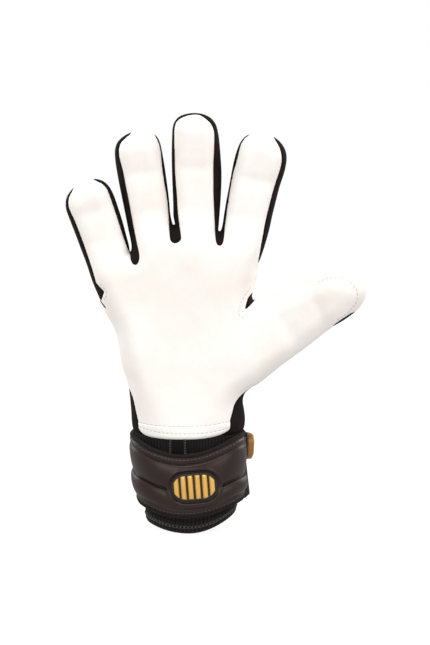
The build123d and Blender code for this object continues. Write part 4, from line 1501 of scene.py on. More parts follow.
def oval_point(axes, angle, z, out=0.0):
    """Points out millimetres off an oval, and the outward directions there."""
    centre, half_x, half_y = axes(z)
    cos, sin = np.cos(angle), np.sin(angle)
    normal = np.stack([cos / half_x, sin / half_y], -1)
    normal /= np.linalg.norm(normal, axis=-1, keepdims=True)
    point = np.stack([
        centre + half_x * cos + normal[..., 0] * out,
        half_y * sin + normal[..., 1] * out, z + 0 * cos], -1)
    return point, np.concatenate([normal, 0 * normal[..., :1]], -1)


def wrist_edge(angle, low, left, right, tilt, back_left, back_right):
    """Height of a strap edge: a dip in front, sloping up to the sides, nearly level behind."""
    x, y = 41.0 * np.cos(angle), np.sin(angle)
    from_dip = x + 2.0
    front = low + tilt * (x + 7) + np.where(from_dip < 0, left, right) * from_dip * from_dip
    back = lerp(back_left, back_right, 0.5 + 0.5 * np.cos(angle)) + 3.6 * np.maximum(y, 0)
    cap = np.where(x < 0, back_left, back_right)
    soft = 2.0  # how gently the front levels off under the cap
    front = -soft * np.logaddexp(-front / soft, -cap / soft)
    return front + (back - front) * ease((y + 0.34) / 0.34)


def strap_z(angle, share):
    top = wrist_edge(angle, low=55.0, left=0.0094, right=0.0072, tilt=0.06,
                     back_left=66.2, back_right=66.6)
    bottom = wrist_edge(angle, low=10.6, left=0.0062, right=0.0041, tilt=0.06,
                        back_left=20.0, back_right=21.4)
    return bottom + (top - bottom) * share


def cushion(share, low, high):
    """A rounded cushion between two shares of the height."""
    inner = np.clip((share - low) / (high - low), 0, 1)
    return 2.7 * np.clip(4 * inner * (1 - inner), 0, 1) ** 0.42


def badge_place(across, up):
    """x and z of a point given in the badge's own tilted frame."""
    cos, sin = math.cos(BADGE_TILT), math.sin(BADGE_TILT)
    return BADGE_X + across * cos - up * sin, BADGE_Z + across * sin + up * cos


def stadium_distance(across, up, width, height):
    """Distance outside a stadium, negative inside."""
    return np.hypot(np.maximum(np.abs(across) - (width - height) / 2, 0), up) - height / 2


def strap_roll(angle, share):
    """The strap leans in a little towards its upper edge at the sides."""
    return 1.7 * np.abs(np.cos(angle)) ** 4 * np.clip((share - 0.66) / 0.34, 0, 1) ** 2


def groove(share, centre, width, depth):
    return depth * np.exp(-(((share - centre) / width) ** 2))


def strap_relief(angle, share, x, z, fade):
    """How far the leather stands off the oval: two long cushions with a channel between
    them, flat bands by the edges and a seat for the badge."""
    channel = np.interp(np.cos(angle), [-1, -0.35, 0.45, 1], [0.455, 0.44, 0.385, 0.39])
    side = np.abs(np.cos(angle)) ** 3
    height = (cushion(share, 0.15, channel - 0.012)
              + cushion(share, channel + 0.012, 0.845) * (1 - 0.62 * side)
              - groove(share, channel, width=0.010, depth=0.35)
              - groove(share, 0.150, width=0.008, depth=0.30)
              - groove(share, 0.852, width=0.008, depth=0.35))
    flat = np.where((share > 0.15) & (share < 0.845), 2.45, 0.0)
    right, up = x - BADGE_X, z - BADGE_Z
    cos, sin = math.cos(BADGE_TILT), math.sin(BADGE_TILT)
    outside = stadium_distance(right * cos + up * sin, -right * sin + up * cos,
                               PLATE_WIDTH + SEAT_MARGIN, PLATE_HEIGHT + SEAT_MARGIN)
    in_front = np.sin(angle) < 0
    height = lerp(height, flat, ease(1 - (outside - 0.3) / 2.6) * in_front)
    height = lerp(height, 1.0, ease(0.5 - outside / 1.3) * in_front)
    height = height + groove(outside, 1.1, width=0.7, depth=0.25) * in_front
    band = 0.45 * ease((share - 0.06) / 0.02) * ease((0.94 - share) / 0.02)
    return band + height * fade - strap_roll(angle, share)


def strap_angles(span, step):
    return np.linspace(*span, max(int((span[1] - span[0]) * STRAP_MEAN_RADIUS / step), 4))


def strap_grid(span, shares, step, offset):
    """Strap points between two angles, outward directions and shading normals.

    offset is a function of (angle, share, x, z) that gives the distance off the oval. One
    more column beyond each end keeps the shading continuous between neighbouring parts.
    """
    beyond = 0.25 / STRAP_MEAN_RADIUS
    angle = np.concatenate([[span[0] - beyond], strap_angles(span, step), [span[1] + beyond]])
    angle, share = np.meshgrid(angle, shares, indexing="ij")
    z = strap_z(angle, share)
    base, outward = oval_point(strap_axes, angle, z)
    pts = base + outward * offset(angle, share, base[..., 0], z)[..., None]
    return pts[1:-1], outward[1:-1], grid_normals(pts)[1:-1]


# part: span of angles, the free end its padding fades towards, leather thickness, slot of
# its lining, and the CAD nodes replaced by its leather, its lining and its binding
STRAP_PARTS = {
    "flap": ((BEND_END, FOLD_START), None, 3.3, "soft_lining",
             ["strap_shell", "strap_foam"], ["strap_lining"], ["strap_edge_binding"]),
    "fold": ((FOLD_START, FOLD_END), TAB_END, 3.3, "soft_lining", [], [], []),
    "tab": ((FOLD_END, TAB_END), TAB_END, 2.4, "hook_tape",
            ["strap_tab_shell", "strap_tab_foam"], ["hook_patch"], ["strap_tab_binding"]),
    "bend": ((BEND_START, BEND_END), None, 3.3, "soft_lining", [], [], []),
    "anchor": ((ANCHOR_END, BEND_START), ANCHOR_END, 3.3, "soft_lining",
               ["strap_anchor_shell", "strap_anchor_foam"], ["strap_anchor_lining"],
               ["strap_anchor_binding"]),
}
STRAP_RIDES = {"anchor": "hand", "flap": "strap_flap", "tab": "strap_tab"}


def ride_strap(obj, part):
    """Ties a strap piece to its body, or spreads it over the bend between two bodies."""
    if part == "bend":
        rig.blend(obj, "hand", "strap_flap",
                 start=(-0.038, 0.0079, 0.045), end=(-0.038, -0.0079, 0.045))
    elif part == "fold":
        peel_y = float(JOINTS["tab_peel"]["pos_m"][1])
        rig.blend(obj, "strap_flap", "strap_tab",
                 start=(0.0254, peel_y, 0.045), end=(0.0334, peel_y, 0.045))
    else:
        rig.ride(obj, STRAP_RIDES[part])


def strap_binding_lumps(span, free_end):
    """Flattened rolls along both edges, and down the free end if there is one."""
    lumps = []
    angle = strap_angles(span, step=1.0)
    for share in (0.972, 0.028):
        centre, _ = oval_point(
            strap_axes, angle, strap_z(angle, share), -1.5 - strap_roll(angle, share))
        lumps.append(tube(centre, (1.35, 2.35), sides=14, flat=(0.0, 0.0, 1.0)))
    if free_end is not None:
        angle = np.full(44, free_end)
        z = strap_z(angle, np.linspace(0.03, 0.97, 44))
        centre, _ = oval_point(strap_axes, angle, z, -1.2)
        lumps.append(tube(centre, (0.9, 1.9), sides=12, flat=(0.0, 1.0, 0.0)))
    return lumps


def strap_stitch_lumps(span):
    lumps = []
    angle = strap_angles(span, step=0.8)
    for share in (0.918, 0.082):
        centre, outward = oval_point(
            strap_axes, angle, strap_z(angle, share), 0.5 - strap_roll(angle, share))
        lumps += stitches(centre, outward, length=1.7, gap=0.9, radius=0.17)
    return lumps


def build_strap_part(part):
    span, fade_end, thick, lining_slot, leather_cad, lining_cad, binding_cad = STRAP_PARTS[part]

    def padded(angle, share, x, z):
        fade = np.ones_like(angle)
        if fade_end is not None:
            fade = ease((np.abs(fade_end - angle) * 34 - 2.2) / 3.6)
        return strap_relief(angle, share, x, z, fade)

    def under(angle, share, x, z):
        return np.full_like(angle, -(thick + 0.05))

    def tell(obj, slot, cad):
        ride_strap(obj, part)
        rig.slot(obj, slot)
        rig.replaces(obj, *cad)

    pts, outward, shade = strap_grid(span, np.linspace(0.035, 0.965, 150), 0.75, padded)
    obj = sheet(f"strap_leather_{part}", pts, outward, thick, LEATHER, shade=shade)
    tell(obj, "strap_leather", leather_cad)
    pts, outward, shade = strap_grid(span, np.linspace(0.03, 0.97, 24), 1.5, under)
    obj = sheet(f"strap_lining_{part}", pts, outward, 1.0, LINING, shade=shade)
    tell(obj, lining_slot, lining_cad)
    free_end = fade_end if part in ("tab", "anchor") else None
    lumps = strap_binding_lumps(span, free_end)
    tell(join_lumps(f"strap_binding_{part}", lumps, BINDING), "edge_binding", binding_cad)
    obj = join_lumps(f"strap_stitching_{part}", strap_stitch_lumps(span), THREAD_DARK)
    ride_strap(obj, part)
    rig.slot(obj, "edge_binding")


def build_tongue():
    """The anchor's tongue under the tab, faced with loop tape."""
    angle, share = np.meshgrid(
        np.linspace(FOLD_END + 0.06, -0.035, 26), np.linspace(0.12, 0.88, 60), indexing="ij")
    pts, outward = oval_point(strap_axes, angle, strap_z(angle, share), -3.6)
    register(sheet("loop_tape_tongue", pts, outward, 0.9, LOOP_PILE), "loop_tape", "loop_patch")


for part in STRAP_PARTS:
    build_strap_part(part)
build_tongue()


# ==========================================================================================
# Hem and seams of the palm and back
# ==========================================================================================
def hand_face(x, z, side):
    """Points on the straight hand's surface and their outward directions: side -1 is the
    palm and 1 the back."""
    x, z = np.asarray(x, float), np.asarray(z, float)
    y = sample(MIDDLE_Y, x, z) + side * np.sqrt(np.maximum(sample(DEPTH2, x, z), 0))
    pts = np.stack([x, y, z], 1)
    return pts, unit(gradient(level, pts, 0.2))


def palm_face(x, z, lift=0.0):
    """Points on the resting palm, lift off the latex, and their outward directions."""
    pts, outward = hand_face(x, z, -1)
    pts = pts + outward * (latex_offset(pts) + lift)[:, None]
    rest = curl(pts)
    return rest, unit(curl(pts + outward * 0.5) - rest)


def back_face(x, z):
    """Points on the back panel over the hand, and their outward directions."""
    pts, outward = hand_face(x, z, 1)
    return pts + outward * back_offset(pts)[:, None], outward


def white_edge(z, sign):
    """Where the white palm ends at height z, on the left (-1) or the right (+1)."""
    reach = np.arange(0, 60, 0.05)
    inside = sample(WHITE_INSET, sign * reach, np.full(len(reach), float(z))) > 0.05
    return sign * reach[np.argmin(inside)]


HEM_LEFT, HEM_RIGHT = white_edge(74.5, -1), white_edge(76.0, 1)
HEM_MIDDLE, HEM_HALF = (HEM_LEFT + HEM_RIGHT) / 2, (HEM_RIGHT - HEM_LEFT) / 2


def hem_fold_z(x):
    share = (x - HEM_MIDDLE) / HEM_HALF
    return 73.6 + np.where(share < 0, 1.4, 2.8) * share * share


def hem_stitch_z(x):
    return 69.0 + 4.1 * np.abs((x - HEM_MIDDLE) / HEM_HALF) ** 2.8


def build_hem():
    """The folded band along the palm's lower edge."""
    x = HEM_MIDDLE + HEM_HALF * 0.995 * np.sin(np.linspace(-math.pi / 2, math.pi / 2, 190))
    overhang = 0.62  # the band begins this far outside the white edge
    scan = np.arange(58, 80, 0.05)
    foot = np.array([
        scan[np.argmax(sample(WHITE_INSET, np.full(len(scan), column), scan) > -overhang)]
        for column in x])
    top = np.maximum(hem_fold_z(x), foot + 0.25)
    rows = []
    for share in np.concatenate([[0, 0.02, 0.05], np.linspace(0.09, 0.93, 19), [0.965, 1.0]]):
        z = foot + (top - foot) * share
        edge = np.clip((sample(WHITE_INSET, x, z) + overhang) / 1.1, 0, 1)
        head = np.clip((top - z) / 0.6, 0, 1)
        roll = 0.62 * np.sqrt(1 - (1 - edge) ** 2) * np.sqrt(1 - (1 - head) ** 2)
        roll -= groove(z, hem_stitch_z(x), width=0.35, depth=0.2) * edge
        rows.append(palm_face(x, z, roll - 0.08))
    pts, outward = (np.stack(layer, 1) for layer in zip(*rows))
    # The band's white is painted brighter than the palm's latex: painted light.
    register(sheet("palm_hem_band", pts, outward, 0.55, HEM_LATEX_PAINTED_LIGHT),
             "white_binding", "palm_hem_binding")


def seam(name, path, radius, lift=0.0, length=2.0, gap=0.9, segment=0):
    """A row of grey stitches along an (x, z) path on the palm."""
    path = smooth_line(path, step=0.5)
    pts, outward = palm_face(path[:, 0], path[:, 1], lift)
    obj = join_lumps(name, stitches(pts, outward, length, gap, radius), THREAD_GREY)
    ride_segment(obj, segment)
    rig.slot(obj, "white_binding")


def thumb_tip_path():
    """A line round the thumb tip, a little way in from the outline."""
    ahead = THUMB.upper_dir
    side = np.array([-ahead[1], ahead[0]])
    centre = THUMB.mid_flat + ahead * (THUMB.upper_reach - 13.5)
    path = []
    for angle in np.radians(np.linspace(-136, 136, 39)):
        out = ahead * math.cos(angle) + side * math.sin(angle)
        ray = centre + out * np.arange(0, 26, 0.05)[:, None]
        path.append(tuple(ray[np.argmax(sample(INSET, ray[:, 0], ray[:, 1]) < 3.4)]))
    return path


def build_palm_seams():
    x = np.linspace(HEM_LEFT + 0.9, HEM_RIGHT - 0.9, 44)
    seam("palm_hem_stitching", np.stack([x, hem_stitch_z(x)], 1), radius=0.17, lift=0.3)
    x = np.linspace(HEM_LEFT + 0.6, HEM_RIGHT - 0.6, 44)
    seam("palm_hem_upper_stitching", np.stack([x, hem_fold_z(x) + 0.35], 1),
         radius=0.15, lift=-0.02, length=2.4, gap=0.7)
    seam("thumb_tip_stitching", thumb_tip_path(), radius=0.16, segment=2 * len(FINGERS))
    seam("thumb_crotch_stitching",
         [(43.2, 168.5), (40.6, 165.0), (38.2, 161.6), (36.4, 157.6), (35.0, 151.6),
          (36.2, 148.6), (38.8, 148.0), (41.4, 150.2), (44.6, 153.8)], radius=0.15)
    seam("ulnar_notch_stitching",
         [(-59.2, 171.4), (-56.6, 168.6), (-54.2, 165.4), (-54.8, 162.4), (-56.6, 159.2)],
         radius=0.15)


def build_notch_piping():
    """A dark piped seam that runs on from the notch at the base of the little finger."""
    path = smooth_line(
        [(-60.4, 160.4), (-58.8, 158.3), (-57.0, 156.2), (-55.3, 154.3)], step=0.4)
    pts, _ = palm_face(path[:, 0], path[:, 1], 0.05)
    register(join_lumps("ulnar_notch_piping", [tube(pts, 0.5, sides=8)], MESH_BLACK),
             "stretch_mesh")


def back_seam(name, x, z, slot):
    pts, outward = back_face(x, z)
    lumps = stitches(pts, outward, length=2.2, gap=1.1, radius=0.22)
    register(join_lumps(name, lumps, THREAD_DARK), slot)


def build_back_seams():
    """Two rows of thread round the knuckle pad, and one along the back's lower edge."""
    tangent = unit(np.roll(PAD_OUTLINE, -1, 0) - np.roll(PAD_OUTLINE, 1, 0))
    away = np.stack([tangent[:, 1], -tangent[:, 0]], 1)
    for k, distance in enumerate((2.6, 4.4)):
        path = PAD_OUTLINE + away * distance
        for _ in range(3):
            path = 0.5 * path + 0.25 * (np.roll(path, 1, 0) + np.roll(path, -1, 0))
        x, z = np.concatenate([path, path[:1]]).T
        back_seam(f"knuckle_pad_stitching_{k + 1}", x, z, "embossed_pad")
    back_seam("back_panel_lower_stitching", np.linspace(-29, 31, 60), np.full(60, 72.5),
              "back_panel")


build_hem()
build_palm_seams()
build_notch_piping()
build_back_seams()

# ==========================================================================================
# Knitted cuff
# ==========================================================================================
# heights of the cuff, and its oval's centre x and half widths there
CUFF_Z = [-12.0, 12.0, 32.0, 72.0]
CUFF_CENTRE = [1.1, 2.1, 1.8, 0.0]
CUFF_HALF_X = [28.6, 30.6, 32.0, 35.6]
CUFF_HALF_Y = [20.0, 20.8, 21.8, 24.6]
CUFF_HEM = 8.6  # height of the folded hem
CUFF_RIBS = 68


def cuff_axes(z):
    return tuple(np.interp(z, CUFF_Z, row) for row in (CUFF_CENTRE, CUFF_HALF_X, CUFF_HALF_Y))


def cuff_rim(angle):
    """Height of the cuff's lower rim."""
    x, y = 31.0 * np.cos(angle), np.sin(angle)
    from_dip = x + 1.0
    front = -1.0 + np.where(from_dip < 0, 0.0062, 0.0108) * from_dip * from_dip
    back = lerp(5.2, 10.4, 0.5 + 0.5 * np.cos(angle)) + 2.4 * np.maximum(y, 0)
    return front + (back - front) * ease((y + 0.34) / 0.34)


def cuff_grid(low, high, rows, offset):
    """Points all round the cuff between two distances above its rim."""
    angle, above = np.meshgrid(
        np.linspace(0, 2 * math.pi, 420, endpoint=False), np.linspace(low, high, rows),
        indexing="ij")
    pts, outward = oval_point(cuff_axes, angle, cuff_rim(angle) + above, offset(angle, above))
    return pts, outward, np.stack([angle * 26.0, above], -1)


def cuff_wave(angle, above):
    ribs = 0.07 * np.cos(angle * CUFF_RIBS) * ease(above / 2)
    return ribs + 0.25 * np.sin(above * 0.7 + 2 * np.sin(angle * 3)) * ease((above - 10) / 4)


def cuff_hem_roll(angle, above):
    share = np.clip(above / CUFF_HEM, 0, 1)
    roll = 1.25 * np.clip(4 * share * (1 - share), 0, 1) ** 0.35
    return roll + 0.05 * np.cos(angle * CUFF_RIBS) - groove(above, 3.2, width=0.45, depth=0.4)


def build_cuff():
    pts, outward, uv = cuff_grid(8.2, 56.0, 90, cuff_wave)
    pts[..., 2] = np.minimum(pts[..., 2], 58.0 + 3.0 * ease(pts[..., 1] / 14))
    register(sheet("cuff_knit", pts, outward, 1.9, RIB, closed=True, uv=uv),
             "elastic_knit", "cuff_bandage")
    pts, outward, uv = cuff_grid(0.0, CUFF_HEM, 26, cuff_hem_roll)
    register(sheet("cuff_folded_hem", pts, outward, 3.4, RIB, closed=True, uv=uv),
             "elastic_knit", "cuff_hem")


def build_cross_stitches():
    """Crossed stitches that hold the folded hem."""
    count = 74
    pitch = 2 * math.pi / count
    lumps = []
    for k in range(count):
        for lean in (1, -1):
            angle = pitch * k + np.linspace(-0.5, 0.5, 5) * pitch * 0.86
            above = 4.6 + lean * np.linspace(-1.25, 1.25, 5)
            base, outward = oval_point(cuff_axes, angle, cuff_rim(angle) + above)
            arch = np.array([-0.3, 0.12, 0.22 + 0.1 * lean, 0.12, -0.3])
            lift = cuff_hem_roll(angle, above) + arch
            lumps.append(tube(base + outward * lift[:, None], 0.2, sides=6))
    register(join_lumps("cuff_cross_stitching", lumps, THREAD_DARK), "elastic_knit")


def build_wrist_tape():
    """Woven tape down the front of the cuff, with a ladder stitch on each side."""
    x, z = np.meshgrid(
        np.linspace(-12.2, -0.6, 16), np.linspace(38.0, 65.6, 50), indexing="ij")
    centre, half_x, _ = cuff_axes(z)
    angle = -np.arccos(np.clip((x - centre) / half_x, -1, 1))
    pts, outward = oval_point(cuff_axes, angle, z, 0.5)
    profile = edge_profile(sample(INSET, x, z), sample(RADIUS, x, z))
    hand_y = -sample(HALF, x, z) * np.sqrt(np.clip(profile, 0, 1))
    pts[..., 1] = np.minimum(pts[..., 1], hand_y + 0.25)
    pts[..., 1] += 1.0 * ease((z - 63.6) / 1.6)
    register(sheet("wrist_tape_woven", pts, outward, 1.0, TAPE), "woven_tape", "wrist_tape")
    arch = np.array([-0.2, 0.12, 0.2, 0.12, -0.2])[:, None]
    lumps = []
    for i in (1, 14):
        for k in range(3, 49, 2):
            start, end = pts[i - 1, k], pts[i + 1, k]
            rung = np.stack([start + (end - start) * share for share in (0, 0.25, 0.5, 0.75, 1)])
            lumps.append(tube(rung + outward[i, k] * arch, 0.19, sides=6))
    register(join_lumps("wrist_tape_stitching", lumps, THREAD_DARK), "woven_tape")


def build_anchor_corner():
    """A rounded leather corner that stands out from the strap on the thumb side."""
    down, share = np.meshgrid(np.linspace(0, 1, 40), np.linspace(0, 1, 14), indexing="ij")
    z = 47.5 - 29.5 * down
    outer_x = np.interp(z, [16.0, 18.0, 19.6, 21.8, 24.0, 34.0, 47.5],
                        [36.0, 38.6, 41.0, 43.3, 43.2, 42.0, 40.6])
    inner_x = np.interp(z, [16, 48], [34.5, 37.0])
    x = inner_x + (outer_x - inner_x) * share
    edge = np.sqrt(np.clip(1 - np.clip((share - 0.86) / 0.14, 0, 1) ** 2, 0.02, 1))
    past_end = np.clip(np.abs(2 * down - 1) - 0.94, 0, 1)
    half = 1.5 * edge * np.sqrt(np.clip(1 - past_end / 0.06, 0.05, 1))
    y = 2.6 + 0.5 * share
    verts = np.concatenate([
        np.stack([x, y + side * half, z], -1).reshape(-1, 3) for side in (-1, 1)])
    register(join_lumps("strap_anchor_corner", [(verts, slab_faces(*x.shape))], LEATHER),
             "strap_leather")


build_cuff()
build_cross_stitches()
build_wrist_tape()
build_anchor_corner()


# ==========================================================================================
# Badge: a stadium-shaped plate with upright gold bars
# ==========================================================================================
def on_strap(x, z, out):
    """Points on the strap's front and their outward directions."""
    centre, half_x, _ = strap_axes(z)
    angle = -np.arccos(np.clip((x - centre) / half_x, -1, 1))
    return oval_point(strap_axes, angle, z, out)


def stadium(width, height, count):
    """Points evenly round a stadium, from the start of its lower straight."""
    straight, radius = width - height, height / 2
    arc = math.pi * radius
    across, up = [], []
    for run in (2 * straight + 2 * arc) * np.arange(count) / count:
        if run < straight:
            across.append(-straight / 2 + run)
            up.append(-radius)
        elif run < straight + arc:
            angle = -math.pi / 2 + (run - straight) / radius
            across.append(straight / 2 + math.cos(angle) * radius)
            up.append(math.sin(angle) * radius)
        elif run < 2 * straight + arc:
            across.append(straight / 2 - (run - straight - arc))
            up.append(radius)
        else:
            angle = math.pi / 2 + (run - 2 * straight - arc) / radius
            across.append(-straight / 2 + math.cos(angle) * radius)
            up.append(math.sin(angle) * radius)
    return np.array(across), np.array(up)


def plate_height(across, up):
    """The plate's height off the strap: a rounded rim round a slightly sunk field."""
    inset = -stadium_distance(across, up, PLATE_WIDTH, PLATE_HEIGHT)
    return 1.0 + dome(inset, 1.0, 0.0, 1.5) - 0.5 * ease((inset - 1.6) / 0.5)


def build_badge_plate():
    count = 180
    under = 0.4
    across, up = stadium(PLATE_WIDTH, PLATE_HEIGHT, count)
    half_straight = (PLATE_WIDTH - PLATE_HEIGHT) / 2
    core = np.clip(across, -half_straight, half_straight)
    rings = [on_strap(*badge_place(across, up), under)[0]]
    for share in np.linspace(1, 0.0, 26) ** 0.8:
        ring_across, ring_up = core + (across - core) * share, up * share
        height = plate_height(ring_across, ring_up)
        rings.append(on_strap(*badge_place(ring_across, ring_up), height)[0])
    faces = ring_faces(len(rings), count)
    hub, _ = on_strap(np.array([BADGE_X]), np.array([BADGE_Z]), under)
    verts = np.concatenate(rings + [hub])
    faces += [((j + 1) % count, j, len(verts) - 1) for j in range(count)]
    obj = new_object("badge_plate", verts, faces, BLACK_RUBBER)
    bm = bmesh.new()
    bm.from_mesh(obj.data)
    # the last ring lies along the middle line, where merging zips the top shut
    bmesh.ops.remove_doubles(bm, verts=bm.verts, dist=0.00002)
    open_edges = [edge for edge in bm.edges if len(edge.link_faces) == 1]
    bmesh.ops.holes_fill(bm, edges=open_edges, sides=0)
    bmesh.ops.triangulate(bm, faces=[face for face in bm.faces if len(face.verts) > 4])
    bmesh.ops.recalc_face_normals(bm, faces=bm.faces)
    for edge in bm.edges:
        if len(edge.link_faces) == 2 and edge.calc_face_angle(0) > math.radians(52):
            edge.smooth = False
    bm.to_mesh(obj.data)
    bm.free()
    set_rest(obj.data, np.array([vert.co for vert in obj.data.vertices]) * 1000)
    register(obj, "badge_rubber", "badge_base", rides="strap_flap")


def build_badge_bars():
    """Six upright gold bars whose ends follow a smaller stadium."""
    width, height, count, gap = 28.0, 17.0, 6, 1.24
    slots = np.linspace(-width / 2, width / 2, count + 1)
    for k in range(count):
        left, right = slots[k] + gap / 2, slots[k + 1] - gap / 2
        columns = np.linspace(left, right, 19)
        past = np.maximum(np.abs(columns) - (width - height) / 2, 0)
        half = np.sqrt(np.clip((height / 2) ** 2 - past**2, 2.2, None))[:, None]
        across, share = np.meshgrid(columns, np.linspace(-1, 1, 61), indexing="ij")
        up = share * half
        inset = np.minimum(np.minimum(across - left, right - across), half - np.abs(up))
        out = 1.5 + dome(inset, 1.7, 0.0, 2.1) + 0.3 * (1 - (up / (height / 2)) ** 2)
        pts, outward = on_strap(*badge_place(across, up), out)
        obj = sheet(f"badge_gold_bar_{k + 1}", pts, outward, 0.5, GOLD)
        cad = ["badge_face"] if k == 0 else []
        register(obj, "gold_rubber", *cad, rides="strap_flap")


build_badge_plate()
build_badge_bars()

# ==========================================================================================
# Stud on the strap's thumb side
# ==========================================================================================
STUD_Y, STUD_Z = 10.0, 54.8
STUD_SIDES = 96
STUD_CORNERS = [  # distances (y, z) from the stud's centre
    (-9, -4.8), (-5, -9.2), (5, -9.2), (9, -4.8), (9, 4.8), (5, 9.2), (-5, 9.2), (-9, 4.8)]
# sections of the stud's pieces: scale of the outline, and distance off the strap's oval
STUD_RING = [
    (0.97, 1.2), (0.98, 2.4), (0.975, 4.4), (0.94, 5.5), (0.88, 5.95), (0.80, 5.6),
    (0.73, 4.6), (0.67, 3.0), (0.645, 1.8), (0.64, 1.2)]
STUD_SEAT = [
    (0.99, -0.6), (1.0, 0.8), (0.99, 1.6), (0.95, 1.9), (0.64, 1.9), (0.62, 1.4),
    (0.62, -0.6)]
STUD_CENTRE = [
    (0.61, -0.4), (0.61, 1.6), (0.58, 2.5), (0.50, 2.95), (0.36, 2.75), (0.30, 2.2),
    (0.26, 2.1), (0.12, 2.15)]


def stud_outline(scale):
    """The stud's eight-sided outline with softened corners, evenly spaced."""
    corners = [np.array(corner, float) * scale for corner in STUD_CORNERS]
    pts = []
    for here, there in zip(corners, corners[1:] + corners[:1]):
        count = max(int(np.linalg.norm(there - here) / 0.5), 1)
        pts += [here + (there - here) * k / count for k in range(count)]
    pts = np.array(pts)
    pts = 0.5 * pts + 0.25 * (np.roll(pts, 1, 0) + np.roll(pts, -1, 0))
    gaps = np.linalg.norm(np.roll(pts, -1, 0) - pts, axis=1)
    run = np.concatenate([[0], np.cumsum(gaps)])
    closed = np.concatenate([pts, pts[:1]])
    spots = np.linspace(0, run[-1], STUD_SIDES, endpoint=False)
    return np.interp(spots, run, closed[:, 0]), np.interp(spots, run, closed[:, 1])


def on_side(y, z, out):
    """Points on the strap's thumb side."""
    half_y = strap_axes(z)[2]
    return oval_point(strap_axes, np.arcsin(np.clip(y / half_y, -1, 1)), z, out)[0]


def stud_verts(section):
    rings = []
    for scale, out in section:
        y, z = stud_outline(scale)
        rings.append(on_side(STUD_Y + y, STUD_Z + z, out))
    return np.concatenate(rings)


def build_stud_band(name, section, material, slot, *cad):
    """A ring whose closed section runs round the stud's outline."""
    faces = ring_faces(len(section), STUD_SIDES, closed=True)
    register(join_lumps(name, [(stud_verts(section), faces)], material), slot, *cad)


def build_stud_centre():
    hubs = [on_side(np.array([STUD_Y]), np.array([STUD_Z]), out) for out in (2.18, -0.4)]
    verts = np.concatenate([stud_verts(STUD_CENTRE)] + hubs)
    rings = len(STUD_CENTRE)
    faces = ring_faces(rings, STUD_SIDES)
    last, hub = (rings - 1) * STUD_SIDES, rings * STUD_SIDES
    for j in range(STUD_SIDES):
        k = (j + 1) % STUD_SIDES
        faces.append((last + j, last + k, hub))
        faces.append((k, j, hub + 1))
    register(join_lumps("side_stud_centre", [(verts, faces)], BLACK_RUBBER),
             "badge_rubber", "side_stud_core")


build_stud_band("side_stud_ring", STUD_RING, AMBER, "amber_rubber", "side_stud_frame")
build_stud_band("side_stud_seat", STUD_SEAT, BLACK_RUBBER, "badge_rubber")
build_stud_centre()

# ==========================================================================================
# Camera, lights, world and floor
# ==========================================================================================
VIEW_DISTANCE, VIEW_HEIGHT = 1100, 445.05  # from the camera, and seen at that distance
SENSOR_HEIGHT = 36.0


def build_camera():
    data = bpy.data.cameras.new("photo_camera")
    data.sensor_fit = "VERTICAL"
    data.sensor_height = SENSOR_HEIGHT
    data.lens = SENSOR_HEIGHT * VIEW_DISTANCE / VIEW_HEIGHT
    data.clip_start, data.clip_end = 0.01, 20
    camera = bpy.data.objects.new("photo_camera", data)
    bpy.context.scene.collection.objects.link(camera)
    camera.location = (0.019, -1.0940, 0.2576)
    camera.rotation_euler = (math.radians(84), 0, 0)
    bpy.context.scene.camera = camera


def area_light(name, place, target, size, power):
    data = bpy.data.lights.new(name, "AREA")
    data.shape, data.size, data.size_y = "RECTANGLE", size[0], size[1]
    data.energy, data.color = power, (1, 1, 1)
    lamp = bpy.data.objects.new(name, data)
    bpy.context.scene.collection.objects.link(lamp)
    lamp.location = place
    lamp.rotation_euler = (Vector(target) - lamp.location).to_track_quat("-Z", "Y").to_euler()


# name, place, the point it faces and size, all in metres, and power in watts
LIGHTS = [
    ("key", (-0.8, -1.6, 0.45), (0, 0, 0.15), (1.3, 1.2), 10.2),
    ("fill", (1.3, -1.3, 0.4), (0, 0, 0.15), (1.2, 1.2), 7.4),
    ("top", (0.0, 0.1, 1.8), (0, 0, 0.1), (1.4, 1.4), 2.5),
    ("strip", (0.1, -0.55, 1.35), (0, -0.02, 0.1), (1.3, 0.2), 8),
    ("rim_left", (-1.2, 0.7, 0.7), (0, 0, 0.1), (0.6, 1.2), 8),
    ("rim_right", (1.2, 0.7, 0.7), (0, 0, 0.1), (0.6, 1.2), 8),
]


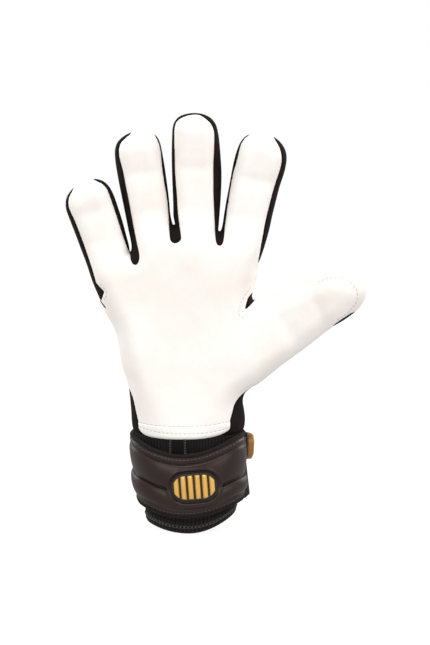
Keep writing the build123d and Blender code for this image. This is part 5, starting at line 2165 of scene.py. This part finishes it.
def build_world():
    """White to the camera, and a softer white as light."""
    world = bpy.data.worlds.new("studio")
    bpy.context.scene.world = world
    world.use_nodes = True
    nodes, links = world.node_tree.nodes, world.node_tree.links
    nodes.clear()
    output = nodes.new("ShaderNodeOutputWorld")
    seen, soft = (nodes.new("ShaderNodeBackground") for _ in range(2))
    for background, strength in ((seen, 1.0), (soft, 0.6)):
        background.inputs["Color"].default_value = (1, 1, 1, 1)
        background.inputs["Strength"].default_value = strength
    path, pick = nodes.new("ShaderNodeLightPath"), nodes.new("ShaderNodeMixShader")
    links.new(path.outputs["Is Camera Ray"], pick.inputs[0])
    links.new(soft.outputs[0], pick.inputs[1])
    links.new(seen.outputs[0], pick.inputs[2])
    links.new(pick.outputs[0], output.inputs[0])
    bpy.context.scene.view_settings.view_transform = "Standard"
    bpy.context.scene.view_settings.look = "None"


def make_floor_material():
    """Pale to the camera, and a dimmer glow to everything else."""
    mat = Shader("floor_white")
    mat.settings(Base_Color=(0.16, 0.16, 0.16, 1), Roughness=0.9, Specular_IOR_Level=0.0)

    def glow(strength):
        node = mat.node("ShaderNodeEmission")
        node.inputs["Color"].default_value = (1, 1, 1, 1)
        node.inputs["Strength"].default_value = strength
        return node.outputs[0]

    seen = mat.node("ShaderNodeAddShader")
    mat.feed(seen.inputs[0], mat.bsdf.outputs[0])
    mat.feed(seen.inputs[1], glow(strength=0.92))
    pick = mat.node("ShaderNodeMixShader")
    mat.feed(pick.inputs[0], mat.node("ShaderNodeLightPath").outputs["Is Camera Ray"])
    mat.feed(pick.inputs[1], glow(strength=0.66))
    mat.feed(pick.inputs[2], seen.outputs[0])
    mat.feed(mat.output.inputs[0], pick.outputs[0])
    return mat.material


def build_floor():
    """A plain floor just under the cuff's rim."""
    half, z = 6000, -1.5
    corners = [(-half, -half, z), (half, -half, z), (half, half, z), (-half, half, z)]
    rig.stage(new_object("floor", corners, [(0, 1, 2, 3)], make_floor_material(), smooth=False))


build_camera()
for name, place, target, size, power in LIGHTS:
    area_light(name, place, target, size, power)
build_world()
build_floor()

low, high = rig.bounds()
sizes = {
    "cad": [list(CAD_BOUNDS[0]), list(CAD_BOUNDS[1])],
    "visual": [list(low), list(high)],
}
json.dump(sizes, open("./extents.json", "w"))
